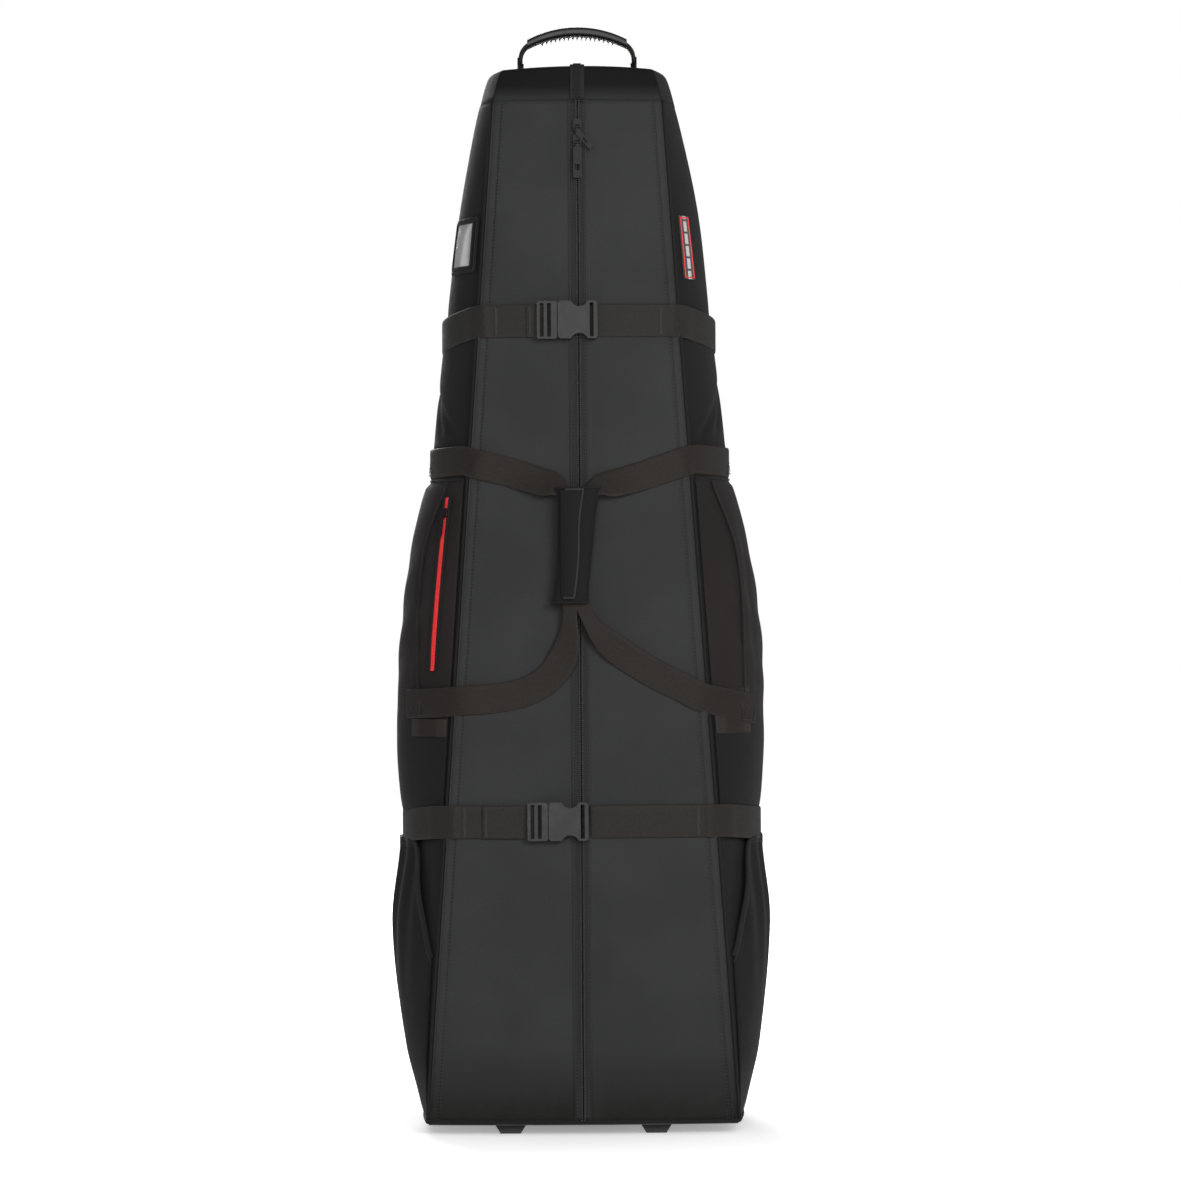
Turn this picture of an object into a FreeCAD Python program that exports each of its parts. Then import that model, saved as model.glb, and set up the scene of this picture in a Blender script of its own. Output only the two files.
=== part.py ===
import FreeCAD, Part
import math
import os

# Wheeled soft-sided golf travel case, standing upright. Millimetres, +Z up, origin on the
# floor under the middle of the case, the zipped front faces -Y and +X is the viewer's right.

os.makedirs("parts", exist_ok=True)
V = FreeCAD.Vector
X_AXIS = V(1, 0, 0)
Y_AXIS = V(0, 1, 0)
Z_AXIS = V(0, 0, 1)

# --- overall sizes -------------------------------------------------------------------
BODY_TOP = 1232.0           # highest point of the hood
BASE_BOTTOM = 12.0          # underside of the base above the floor
HOOD_RISE = 36.0            # height of the rounded hood above the shoulder
HOOD_ROUND = 26.0           # how far the hood's edge rolls inward
BASE_HALF_WIDTH = 178.4     # half width of the front at the base
TOP_HALF_WIDTH = 98.0       # half width of the front at the shoulder
REAR_INSET = 6.0            # the back is this much narrower on each side than the front
SIDE_SWELL = 48.0           # how far the sides belly out past the front's edges
SWELL_POWER = 0.45          # 0.5 is an ellipse, less is boxier
FRONT_BASE_Y = -158.0       # front edge at the base
FRONT_LEAN = 75.0           # how far the front leans back by the shoulder
BACK_Y = 152.0              # outer face of the flat back
FRONT_CROWN = 10.0          # outward bow of the front across its width

# --- walls and clearances ------------------------------------------------------------
WALL = 5.0                  # padded panel
SHEET = 1.6                 # single pocket fabric
SEAM_GAP = 0.5              # between neighbouring sewn panels
SKIN_GAP = 0.8              # between a panel and what lies on it
RUN_GAP = 0.4               # between pieces that pass each other
WEB_WIDTH = 38.0
WEB_THICK = 2.0

# --- heights of the straps and fittings ----------------------------------------------
TOP_STRAP_Z = 938.0
LOWER_STRAP_Z = 359.0
UPPER_CARRY_Z = 775.0
LOWER_CARRY_Z = 497.0
CARRY_WIDTH = 34.0

SHOULDER = BODY_TOP - HOOD_RISE
PANEL_LOW = BASE_BOTTOM + WALL + SEAM_GAP
PANEL_HIGH = SHOULDER - SEAM_GAP
DOOR_HIGH = SHOULDER - 1.2  # the doors' slanted hinges lift their tops a little
LOFT_STEPS = 14


def mix(low, high, share):
    return low + (high - low) * share


def rise(z):
    return (z - BASE_BOTTOM) / (SHOULDER - BASE_BOTTOM)


def seam_x(z):
    return mix(BASE_HALF_WIDTH, TOP_HALF_WIDTH, rise(z))


def front_y(z):
    return FRONT_BASE_Y + FRONT_LEAN * rise(z)


def swell(z):
    share = (z - BASE_BOTTOM) / (BODY_TOP - 3.0 - BASE_BOTTOM)
    return SIDE_SWELL * (4.0 * share * (1.0 - share)) ** SWELL_POWER


def bow(first, middle, last):
    """Centre, radius, start angle and sweep of the arc through three (x, y) points."""
    (ax, ay), (bx, by), (cx, cy) = first, middle, last
    double = 2.0 * (ax * (by - cy) + bx * (cy - ay) + cx * (ay - by))
    a2, b2, c2 = ax * ax + ay * ay, bx * bx + by * by, cx * cx + cy * cy
    x = (a2 * (by - cy) + b2 * (cy - ay) + c2 * (ay - by)) / double
    y = (a2 * (cx - bx) + b2 * (ax - cx) + c2 * (bx - ax)) / double
    start = math.atan2(ay - y, ax - x)
    end = math.atan2(cy - y, cx - x)
    return x, y, math.hypot(ax - x, ay - y), start, end - start


def bow_point(arc, share, out, z):
    x, y, radius, start, sweep = arc
    angle = start + sweep * share
    return V(x + (radius + out) * math.cos(angle), y + (radius + out) * math.sin(angle), z)


def side_bow(z):
    depth = WALL + SEAM_GAP
    front = (seam_x(z), front_y(z) + depth)
    middle = (seam_x(z) + swell(z), (front_y(z) + BACK_Y) / 2.0)
    rear = (seam_x(z) - REAR_INSET, BACK_Y - depth)
    return bow(front, middle, rear)


def side_point(z, share, out):
    """On the right side panel: share runs from the front seam to the back seam."""
    return bow_point(side_bow(z), share, out, z)


def front_point(z, x, out):
    """On the front; the crown's arc runs through the seam and bows out in the middle."""
    half = seam_x(z)
    radius = (half ** 2 + FRONT_CROWN ** 2) / (2.0 * FRONT_CROWN)
    centre = front_y(z) - FRONT_CROWN + radius
    return V(x, centre - math.sqrt((radius + out) ** 2 - x * x), z)


def strip_wire(outer, inner):
    """Closed outline of an outer arc and an inner arc, each through three points."""
    edges = [Part.Arc(*outer).toShape(), Part.LineSegment(outer[2], inner[2]).toShape()]
    edges += [Part.Arc(inner[2], inner[1], inner[0]).toShape()]
    edges += [Part.LineSegment(inner[0], outer[0]).toShape()]
    return Part.Wire(edges)


def loft(wires):
    return Part.makeLoft(wires, True, len(wires) == 2)


def steps(low, high, count):
    """Heights from low to high, closer together near both ends."""
    middle, half = (low + high) / 2.0, (high - low) / 2.0
    return [middle - half * math.cos(math.pi * i / count) for i in range(count + 1)]


def band(point, heights, start, end, inner, outer):
    """A sheet on a point function, between two shares and two distances off the skin."""
    wires = []
    for z in heights:
        first, last = start(z), end(z)
        across = [first, (first + last) / 2.0, last]
        wires.append(strip_wire([point(z, s, outer(z)) for s in across],
                                [point(z, s, inner(z)) for s in across]))
    return loft(wires)


def fixed(value):
    return lambda z: value


def polygon(points):
    return Part.Face(Part.makePolygon(points + [points[0]]))


def box(x0, x1, y0, y1, z0, z1):
    return Part.makeBox(x1 - x0, y1 - y0, z1 - z0, V(x0, y0, z0))


def rod(radius, length, start, direction):
    return Part.makeCylinder(radius, length, start, direction)


def mirrored(shape):
    return shape.mirror(V(0, 0, 0), X_AXIS)


def group(shapes):
    return Part.makeCompound(shapes)


def save(name, shape):
    shape.exportStep("parts/" + name + ".step")


# --- shell ---------------------------------------------------------------------------
def outline(z, inset):
    """The whole case's section: bowed front, bellied sides and a flat back."""
    half, middle = seam_x(z) - inset, seam_x(z) + swell(z) - inset
    rear, front = half - REAR_INSET, front_y(z) + inset
    back, centre = BACK_Y - inset, (front_y(z) + BACK_Y) / 2.0
    nose = V(0, front - FRONT_CROWN, z)
    edges = [Part.Arc(V(-half, front, z), nose, V(half, front, z)).toShape()]
    edges += [Part.Arc(V(half, front, z), V(middle, centre, z), V(rear, back, z)).toShape()]
    edges += [Part.LineSegment(V(rear, back, z), V(-rear, back, z)).toShape()]
    edges += [Part.Arc(V(-rear, back, z), V(-middle, centre, z), V(-half, front, z)).toShape()]
    return Part.Wire(edges)


def lifted(wire, height):
    moved = wire.copy()
    moved.translate(V(0, 0, height))
    return moved


def hood_roll(z_low, height, inset):
    """A dome over the shoulder outline whose edge rolls inward through a quarter turn."""
    wires = []
    for i in range(6):
        angle = math.radians(18.0 * i)
        section = outline(SHOULDER, inset + HOOD_ROUND * (1.0 - math.cos(angle)))
        wires.append(lifted(section, z_low - SHOULDER + height * math.sin(angle)))
    return loft(wires)


WHEEL_RADIUS = 38.0
WHEEL_WIDTH = 24.0
WHEEL_X = 85.0
WHEEL_Y = BACK_Y - 20.0
WHEEL_GAP = 2.0             # between the tyre and its housing
HOUSING_WALL = 4.0
HOUSING_HALF = WHEEL_WIDTH / 2.0 + WHEEL_GAP + HOUSING_WALL
HOUSING_FRONT = WHEEL_Y - WHEEL_RADIUS - WHEEL_GAP - HOUSING_WALL
HOUSING_TOP = 2.0 * WHEEL_RADIUS + WHEEL_GAP + HOUSING_WALL
AXLE_RADIUS = 4.0
AXLE_GAP = 0.05
BEARING_RADIUS = 11.0
BEARING_WIDTH = 7.0
HUB_RADIUS = 26.0


def housing_block(side, gap):
    x = side * WHEEL_X
    half = HOUSING_HALF + gap
    return box(x - half, x + half, HOUSING_FRONT - gap, BACK_Y + 40.0, -1.0, HOUSING_TOP + gap)


def without_housings(shape):
    for side in (-1, 1):
        shape = shape.cut(housing_block(side, SEAM_GAP))
    return shape


def base_panel():
    return without_housings(loft([outline(BASE_BOTTOM, 0.5), outline(BASE_BOTTOM + WALL, 0.5)]))


BOARD = 6.0
BOARD_LOW = PANEL_LOW


def base_board():
    section = Part.Face(outline(BOARD_LOW, WALL + 8.0))
    return without_housings(section.extrude(V(0, 0, BOARD)))


def side_panel():
    return band(side_point, steps(PANEL_LOW, PANEL_HIGH, LOFT_STEPS),
                fixed(0.0), fixed(1.0), fixed(-WALL), fixed(0.0))


def back_panel():
    corners = []
    for z in (PANEL_LOW, PANEL_HIGH):
        corners.append(V(seam_x(z) - REAR_INSET, BACK_Y, z))
    points = [corners[0], corners[1]]
    points += [V(-corner.x, corner.y, corner.z) for corner in reversed(corners)]
    return without_housings(polygon(points).extrude(V(0, -WALL, 0)))


STIFF = 3.0
STIFF_LOW = HOUSING_TOP + 8.0
STIFF_HIGH = SHOULDER - 40.0
STIFF_MARGIN = 16.0


def back_board():
    y = BACK_Y - WALL - SEAM_GAP
    low = seam_x(STIFF_LOW) - REAR_INSET - STIFF_MARGIN
    high = seam_x(STIFF_HIGH) - REAR_INSET - STIFF_MARGIN
    points = [V(-low, y, STIFF_LOW), V(low, y, STIFF_LOW), V(high, y, STIFF_HIGH),
              V(-high, y, STIFF_HIGH)]
    return polygon(points).extrude(V(0, -STIFF, 0))


def hood():
    inner = hood_roll(SHOULDER - 0.5, HOOD_RISE - WALL + 0.5, WALL)
    return hood_roll(SHOULDER, HOOD_RISE, 0.0).cut(inner)


PAD_THICK = 16.0


def hood_pad():
    top = BODY_TOP - WALL - SEAM_GAP
    section = lifted(outline(SHOULDER, HOOD_ROUND + WALL + 3.0), top - PAD_THICK - SHOULDER)
    return Part.Face(section).extrude(V(0, 0, PAD_THICK))


save("base_panel", base_panel())
save("right_side_panel", side_panel())
save("left_side_panel", mirrored(side_panel()))
save("back_panel", back_panel())
save("stiffener_boards", group([base_board(), back_board()]))
save("hood", hood())
save("hood_pad", hood_pad())

# --- feet, wheels and their housings ---------------------------------------------------
FOOT_X = 84.0
FOOT_Y = -118.0
FOOT_LENGTH = 46.0
FOOT_TOP = 38.0
FOOT_BOTTOM = 23.0
SCREW_RADIUS = 2.5
SCREW_HEAD = 4.5


def foot(side):
    y = FOOT_Y - FOOT_LENGTH / 2.0
    points = [V(-FOOT_BOTTOM / 2.0, y, 0), V(FOOT_BOTTOM / 2.0, y, 0),
              V(FOOT_TOP / 2.0, y, BASE_BOTTOM), V(-FOOT_TOP / 2.0, y, BASE_BOTTOM)]
    block = polygon(points).extrude(V(0, FOOT_LENGTH, 0))
    block.translate(V(side * FOOT_X, 0, 0))
    for y in foot_screws_y():
        block = block.cut(rod(SCREW_RADIUS, BASE_BOTTOM + 2, V(side * FOOT_X, y, -1), Z_AXIS))
        block = block.cut(rod(SCREW_HEAD, 6.0, V(side * FOOT_X, y, -1), Z_AXIS))
    return block


def foot_screws_y():
    return (FOOT_Y - 13.0, FOOT_Y + 13.0)


def foot_screw(side, y):
    head = rod(SCREW_HEAD - 0.2, 2.5, V(side * FOOT_X, y, 2.3), Z_AXIS)
    shank_low = 4.8
    shank = rod(SCREW_RADIUS - 0.2, BASE_BOTTOM - shank_low, V(side * FOOT_X, y, shank_low), Z_AXIS)
    return head.fuse(shank)


def wheel_housing(side):
    """A box open below and behind, with the wheel's axle through its two cheeks."""
    x = side * WHEEL_X
    half = HOUSING_HALF
    rear = BACK_Y - 0.5
    block = box(x - half, x + half, HOUSING_FRONT, rear, BASE_BOTTOM, HOUSING_TOP)
    inner = half - HOUSING_WALL
    block = block.cut(box(x - inner, x + inner, HOUSING_FRONT + HOUSING_WALL, rear + 1,
                          BASE_BOTTOM - 1, HOUSING_TOP - HOUSING_WALL))
    hole = rod(AXLE_RADIUS, 2 * half + 2, V(x - half - 1, WHEEL_Y, WHEEL_RADIUS), X_AXIS)
    return block.cut(hole)


def axle(side):
    start = side * WHEEL_X - HOUSING_HALF - 2.0
    pin = rod(AXLE_RADIUS, 2 * HOUSING_HALF + 4.0, V(start, WHEEL_Y, WHEEL_RADIUS), X_AXIS)
    head = rod(AXLE_RADIUS + 2.5, 2.0, V(start, WHEEL_Y, WHEEL_RADIUS), X_AXIS)
    tail = rod(AXLE_RADIUS + 2.5, 2.0, V(-start + 2 * side * WHEEL_X - 2.0, WHEEL_Y,
                                        WHEEL_RADIUS), X_AXIS)
    return pin.fuse([head, tail])


def wheel_disc(side, radius, width):
    start = V(side * WHEEL_X - width / 2.0, WHEEL_Y, WHEEL_RADIUS)
    return rod(radius, width, start, X_AXIS)


def tyre(side):
    ring = wheel_disc(side, WHEEL_RADIUS, WHEEL_WIDTH)
    rims = [e for e in ring.Edges if abs(e.Length - 2 * math.pi * WHEEL_RADIUS) < 0.01]
    ring = ring.makeFillet(4.0, rims[:2])
    return ring.cut(wheel_disc(side, HUB_RADIUS, WHEEL_WIDTH + 2))


def bearings(side):
    rings = []
    for end in (-1, 1):
        middle = side * WHEEL_X + end * (WHEEL_WIDTH - BEARING_WIDTH) / 2.0
        start = V(middle - BEARING_WIDTH / 2.0, WHEEL_Y, WHEEL_RADIUS)
        ring = rod(BEARING_RADIUS, BEARING_WIDTH, start, X_AXIS)
        rings.append(ring.cut(rod(AXLE_RADIUS + AXLE_GAP, BEARING_WIDTH, start, X_AXIS)))
    return group(rings)


def hub(side):
    body = wheel_disc(side, HUB_RADIUS, WHEEL_WIDTH - 2.0)
    body = body.cut(wheel_disc(side, AXLE_RADIUS + 1.0, WHEEL_WIDTH + 2))
    for end in (-1, 1):
        x = side * WHEEL_X + end * WHEEL_WIDTH / 2.0
        start = V(x - BEARING_WIDTH if end > 0 else x, WHEEL_Y, WHEEL_RADIUS)
        body = body.cut(rod(BEARING_RADIUS, BEARING_WIDTH, start, X_AXIS))
    for i in range(5):
        angle = math.radians(72.0 * i + 36.0)
        y = WHEEL_Y + 18.0 * math.cos(angle)
        z = WHEEL_RADIUS + 18.0 * math.sin(angle)
        body = body.cut(rod(4.5, WHEEL_WIDTH + 2, V(side * WHEEL_X - 13.0, y, z), X_AXIS))
    return body


RIVET_RADIUS = 3.5


def housing_rivet(side, x_side, z):
    """Blind rivet through the housing's cheek flange, seen inside the case."""
    x = side * WHEEL_X + x_side * (HOUSING_HALF + 0.1)
    return rod(RIVET_RADIUS, 1.8, V(x, HOUSING_FRONT + 10.0, z), V(x_side, 0, 0))


save("front_feet", group([foot(-1), foot(1)]))
save("base_screws", group([foot_screw(side, y) for side in (-1, 1) for y in foot_screws_y()]
                          + [housing_rivet(side, x_side, z) for side in (-1, 1)
                             for x_side in (-1, 1) for z in (40.0, HOUSING_TOP - 12.0)]))
save("wheel_axles", group([axle(-1), axle(1)]))
for side, name in ((-1, "left"), (1, "right")):
    save(name + "_wheel_housing", wheel_housing(side))
    save(name + "_tyre", tyre(side))
    save(name + "_hub", hub(side))
    save(name + "_bearings", bearings(side))

# --- side pockets ---------------------------------------------------------------------
SHOE_LOW = 342.0
SHOE_HIGH = 754.0
SHOE_BULGE = 25.0
SHOE_START = 0.03           # shares of the side panel that the pocket covers
SHOE_END = 0.86
POCKET_EDGE = SKIN_GAP + SHEET
LOW_POCKET_LOW = 44.0
LOW_POCKET_HIGH = 334.0
LOW_POCKET_BULGE = 18.0
LOW_POCKET_START = 0.05
LOW_POCKET_END = 0.93
MOUTH_DROP = 150.0          # the mouth's front end below its top
MOUTH_REACH = 64.0          # from the front edge back to where the mouth reaches the top


def shoe_bulge(z):
    share = (z - SHOE_LOW + 17.0) / (SHOE_HIGH - SHOE_LOW + 21.0)
    return SHOE_BULGE * math.sin(math.pi * share) ** 0.6


def low_bulge(z):
    share = (z - LOW_POCKET_LOW + 10.0) / (LOW_POCKET_HIGH - LOW_POCKET_LOW + 10.0)
    return POCKET_EDGE + 1.0 + LOW_POCKET_BULGE * math.sin(math.pi * 0.62 * share)


def lens_point(bulge, start, end):
    """Point function of a pocket that starts flat on the side and swells in its middle."""
    def point(z, share, out):
        ends = [side_point(z, s, POCKET_EDGE) for s in (start, end)]
        middle = side_point(z, (start + end) / 2.0, bulge(z))
        arc = bow((ends[0].x, ends[0].y), (middle.x, middle.y), (ends[1].x, ends[1].y))
        return bow_point(arc, share, out, z)
    return point


shoe_point = lens_point(shoe_bulge, SHOE_START, SHOE_END)
low_point = lens_point(low_bulge, LOW_POCKET_START, LOW_POCKET_END)


def pocket(bulge, start, end, heights, skin_out, edge_out, inside):
    """Solid between the side panel and a face swollen to inside less than bulge."""
    wires = []
    middle = (start + end) / 2.0
    for z in heights:
        outer = [side_point(z, start, edge_out), side_point(z, middle, bulge(z) - inside),
                 side_point(z, end, edge_out)]
        inner = [side_point(z, s, skin_out) for s in (start, middle, end)]
        wires.append(strip_wire(outer, inner))
    return loft(wires)


def shoe_pocket():
    """Zipped pocket: a closed skin around its own hollow."""
    heights = steps(SHOE_LOW, SHOE_HIGH, 8)
    body = pocket(shoe_bulge, SHOE_START, SHOE_END, heights, SKIN_GAP, POCKET_EDGE, 0.0)
    inset = 0.06
    back = SKIN_GAP + SHEET
    hollow = pocket(shoe_bulge, SHOE_START + inset, SHOE_END - inset,
                    steps(SHOE_LOW + 6.0, SHOE_HIGH - 24.0, 8), back, back + 0.8, SHEET)
    return body.cut(hollow)


def lower_pocket():
    """An open-topped pocket, its mouth cut on a slant that falls towards the front."""
    heights = steps(LOW_POCKET_LOW, LOW_POCKET_HIGH, 7)
    body = pocket(low_bulge, LOW_POCKET_START, LOW_POCKET_END, heights, SKIN_GAP, POCKET_EDGE,
                  0.0)
    inset = 0.04
    inner_heights = steps(LOW_POCKET_LOW + 8.0, LOW_POCKET_HIGH + 1.0, 7)
    hollow = pocket(low_bulge, LOW_POCKET_START + inset, LOW_POCKET_END - inset, inner_heights,
                    -1.0, POCKET_EDGE - SHEET, SHEET)
    body = body.cut(hollow)
    front, back = FRONT_BASE_Y - 10.0, FRONT_BASE_Y + MOUTH_REACH
    above = LOW_POCKET_HIGH + 20.0
    corners = [V(0, front, LOW_POCKET_HIGH - MOUTH_DROP), V(0, front, above), V(0, back, above),
               V(0, back, LOW_POCKET_HIGH)]
    return body.cut(polygon(corners).extrude(V(BASE_HALF_WIDTH + 2.0 * SIDE_SWELL, 0, 0)))


ZIP_LOW = 533.0
ZIP_HIGH = 735.0
RED_ZIP_WIDTH = 7.5
RED_ZIP_SHARE = 0.10
SHOE_ARC = 290.0            # length of the pocket's face from front to back


def red_zip_point(z, across, out):
    """Across the red zipper: its line runs down the pocket's front shoulder."""
    return shoe_point(z, RED_ZIP_SHARE + across / SHOE_ARC, out)


def pocket_zip_tape():
    half = RED_ZIP_WIDTH / 2.0
    shape = band(red_zip_point, steps(ZIP_LOW, ZIP_HIGH, 6), fixed(-half), fixed(half),
                 fixed(0.5), fixed(1.7))
    return mirrored(shape)


save("right_shoe_pocket", shoe_pocket())
save("left_shoe_pocket", mirrored(shoe_pocket()))
save("right_lower_pocket", lower_pocket())
save("left_lower_pocket", mirrored(lower_pocket()))
save("pocket_zip_tape", pocket_zip_tape())

# --- front doors and the main zipper ----------------------------------------------------
ZIP_GAP = 0.25              # from the centre line to each half
TAPE_HALF = 8.5
TAPE_LIFT = 0.4
TAPE_THICK = 0.9
COIL_HALF = 2.8
COIL_LIFT = 2.4


def door():
    return band(front_point, [PANEL_LOW, DOOR_HIGH], fixed(ZIP_GAP), seam_x,
                fixed(-WALL), fixed(0.0))


def zip_half():
    """Flat tape with half of the coil standing on its inner edge."""
    wires = []
    for z in (PANEL_LOW, DOOR_HIGH):
        tape_top = TAPE_LIFT + TAPE_THICK
        corners = [(ZIP_GAP, TAPE_LIFT), (TAPE_HALF, TAPE_LIFT), (TAPE_HALF, tape_top),
                   (COIL_HALF, tape_top), (COIL_HALF, COIL_LIFT), (ZIP_GAP, COIL_LIFT)]
        points = [front_point(z, x, out) for x, out in corners]
        wires.append(Part.makePolygon(points + [points[0]]))
    return loft(wires)


def hood_profile(lift):
    """Side view of the hood's middle line, from the shoulder over to the flat top."""
    nose = front_y(SHOULDER) - FRONT_CROWN
    points = []
    for i in range(7):
        angle = math.radians(15.0 * i)
        roll = (HOOD_ROUND + lift) * (1.0 - math.cos(angle))
        points.append(V(0, nose - lift + roll, SHOULDER + (HOOD_RISE + lift) * math.sin(angle)))
    return points


HOOD_ZIP_END = -2.0         # where the zipper stops on top, just ahead of the handle


def hood_zip():
    outer, inner = hood_profile(1.6), hood_profile(0.6)
    outer.append(V(0, HOOD_ZIP_END, outer[-1].z))
    inner.append(V(0, HOOD_ZIP_END, inner[-1].z))
    curves = []
    for points in (outer[:-1], inner[:-1]):
        curve = Part.BSplineCurve()
        curve.interpolate(points)
        curves.append(curve.toShape())
    edges = [curves[0], Part.LineSegment(outer[-2], outer[-1]).toShape()]
    edges += [Part.LineSegment(outer[-1], inner[-1]).toShape()]
    edges += [Part.LineSegment(inner[-1], inner[-2]).toShape(), curves[1]]
    edges += [Part.LineSegment(inner[0], outer[0]).toShape()]
    face = Part.Face(Part.Wire(Part.__sortEdges__(edges)))
    face.translate(V(-TAPE_HALF, 0, 0))
    return face.extrude(V(2 * TAPE_HALF, 0, 0))


save("right_front_panel", door())
save("left_front_panel", mirrored(door()))
save("right_zip_tape", zip_half())
save("left_zip_tape", mirrored(zip_half()))
save("hood_zip", hood_zip())

# --- compression straps and their side-release buckles -----------------------------------
HINGE_MARGIN = 8.0          # straps stop this far from the door's hinge line
BUCKLE_HEIGHT = 44.0
SOCKET_LENGTH = 46.0
SOCKET_THICK = 11.0
FRAME_LENGTH = 23.5
FRAME_THICK = 5.0
BUCKLE_LIFT = 3.2           # the buckle's back above the front's surface
SOCKET_WALL = 2.6
BUCKLE_JOINT = 0.8          # between the frame's shoulder and the socket's mouth
ARM_THICK = 4.4
ARM_INNER = 8.0             # arm's inner edge from the buckle's centre line
ARM_OUTER = 12.5
ARM_PAD = 16.2              # thumb pad's outer edge


def placed_front(shape, z):
    """Move a fitting built about its own origin, facing -Y, onto the leaning front."""
    lean = math.degrees(math.atan2(FRONT_LEAN, SHOULDER - BASE_BOTTOM))
    moved = shape.copy()
    moved.rotate(V(0, 0, 0), X_AXIS, -lean)
    moved.translate(V(0, front_y(z) - FRONT_CROWN, z))
    return moved


def front_block(x0, x1, low, high, z0, z1):
    """A block on the front, low and high being heights off its surface."""
    return box(x0, x1, -high, -low, z0, z1)


def rounded(block, radius):
    return block.makeFillet(radius, [e for e in block.Edges if abs(e.tangentAt(0).y) > 0.99])


def socket(mouth):
    """Female half: a sleeve with side windows and a bar for the webbing."""
    half = BUCKLE_HEIGHT / 2.0
    low, high = BUCKLE_LIFT, BUCKLE_LIFT + SOCKET_THICK
    body = rounded(front_block(mouth, mouth + SOCKET_LENGTH, low, high, -half, half), 4.0)
    cavity_end = mouth + SOCKET_LENGTH - 14.0
    body = body.cut(front_block(mouth - 1, cavity_end, low + SOCKET_WALL, high - SOCKET_WALL,
                                -half + SOCKET_WALL, half - SOCKET_WALL))
    waist = mouth + 25.0
    for side in (-1, 1):
        centre = V(waist, -high - 1, side * (half + 4.0))
        body = body.cut(rod(10.5, SOCKET_THICK + 2, centre, Y_AXIS))
    slot = mouth + SOCKET_LENGTH - 9.0
    return body.cut(front_block(slot, slot + 4.5, low - 1, high + 1, -half + 2.5, half - 2.5))


def buckle_frame(mouth):
    """Male half's ladder: two webbing slots with a bar between them."""
    half = BUCKLE_HEIGHT / 2.0
    middle = BUCKLE_LIFT + SOCKET_THICK / 2.0
    low, high = middle - FRAME_THICK / 2.0, middle + FRAME_THICK / 2.0
    end = mouth - BUCKLE_JOINT
    frame = rounded(front_block(end - FRAME_LENGTH, end, low, high, -half, half), 3.0)
    for start in (end - FRAME_LENGTH + 3.5, end - FRAME_LENGTH + 12.0):
        frame = frame.cut(front_block(start, start + 4.5, low - 1, high + 1, -half + 2.5,
                                      half - 2.5))
    return frame


def release_arm(mouth, side):
    """Springy arm with a thumb pad; side is +1 for the upper arm and -1 for the lower."""
    middle = BUCKLE_LIFT + SOCKET_THICK / 2.0
    root, tip = mouth - BUCKLE_JOINT + RUN_GAP, mouth + 30.0
    pad = mouth + 20.0
    corners = [(root, ARM_INNER), (tip - 6.0, ARM_INNER), (tip, ARM_OUTER - 1.5),
               (tip, ARM_PAD - 2.0), (pad + 4.0, ARM_PAD), (pad, ARM_PAD - 1.0),
               (pad - 4.0, ARM_OUTER), (root, ARM_OUTER)]
    points = [V(x, -middle - ARM_THICK / 2.0, side * z) for x, z in corners]
    return polygon(points).extrude(V(0, ARM_THICK, 0))


def front_strap(z, start, end):
    """Webbing across the front from one x to another."""
    half = WEB_WIDTH / 2.0
    return band(front_point, [z - half, z + half], start, end, fixed(SKIN_GAP),
                fixed(SKIN_GAP + WEB_THICK))


def door_edge(z):
    return seam_x(z) - HINGE_MARGIN


def left_door_edge(z):
    return HINGE_MARGIN - seam_x(z)


SIDE_STRAP_START = 0.04


def top_side_strap():
    """Right half of the top strap from the hinge line back to the rear seam."""
    half = WEB_WIDTH / 2.0
    return band(side_point, [TOP_STRAP_Z - half, TOP_STRAP_Z, TOP_STRAP_Z + half],
                fixed(SIDE_STRAP_START), fixed(1.0), fixed(SKIN_GAP),
                fixed(SKIN_GAP + WEB_THICK))


def lower_side_strap():
    """Right half of the lower strap, drawn tight over the shoe pocket's lower end."""
    half = WEB_WIDTH / 2.0
    gap = RUN_GAP + 0.3
    over = max(SHOE_LOW, LOWER_STRAP_Z - half)
    heights = [over, (over + LOWER_STRAP_Z + half) / 2.0, LOWER_STRAP_Z + half]
    return band(shoe_point, heights, fixed(0.02), fixed(1.0), fixed(gap), fixed(gap + WEB_THICK))


TOP_BUCKLE_MOUTH = -24.0    # x of the socket's open end
LOWER_BUCKLE_MOUTH = -38.0
STRAP_TUCK = 12.0           # how far the webbing runs in behind each buckle half

for name, z, mouth in (("top", TOP_STRAP_Z, TOP_BUCKLE_MOUTH),
                       ("lower", LOWER_STRAP_Z, LOWER_BUCKLE_MOUTH)):
    right_start = max(mouth + SOCKET_LENGTH - STRAP_TUCK, TAPE_HALF + 1.0)
    left_end = mouth - BUCKLE_JOINT - FRAME_LENGTH + STRAP_TUCK
    save(name + "_strap_right", front_strap(z, fixed(right_start), door_edge))
    save(name + "_strap_left", front_strap(z, left_door_edge, fixed(left_end)))
    save(name + "_buckle_socket", placed_front(socket(mouth), z))
    save(name + "_buckle_frame", placed_front(buckle_frame(mouth), z))
    save(name + "_buckle_upper_arm", placed_front(release_arm(mouth, 1), z))
    save(name + "_buckle_lower_arm", placed_front(release_arm(mouth, -1), z))

save("top_strap_sides", group([top_side_strap(), mirrored(top_side_strap())]))
save("lower_strap_sides", group([lower_side_strap(), mirrored(lower_side_strap())]))

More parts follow.
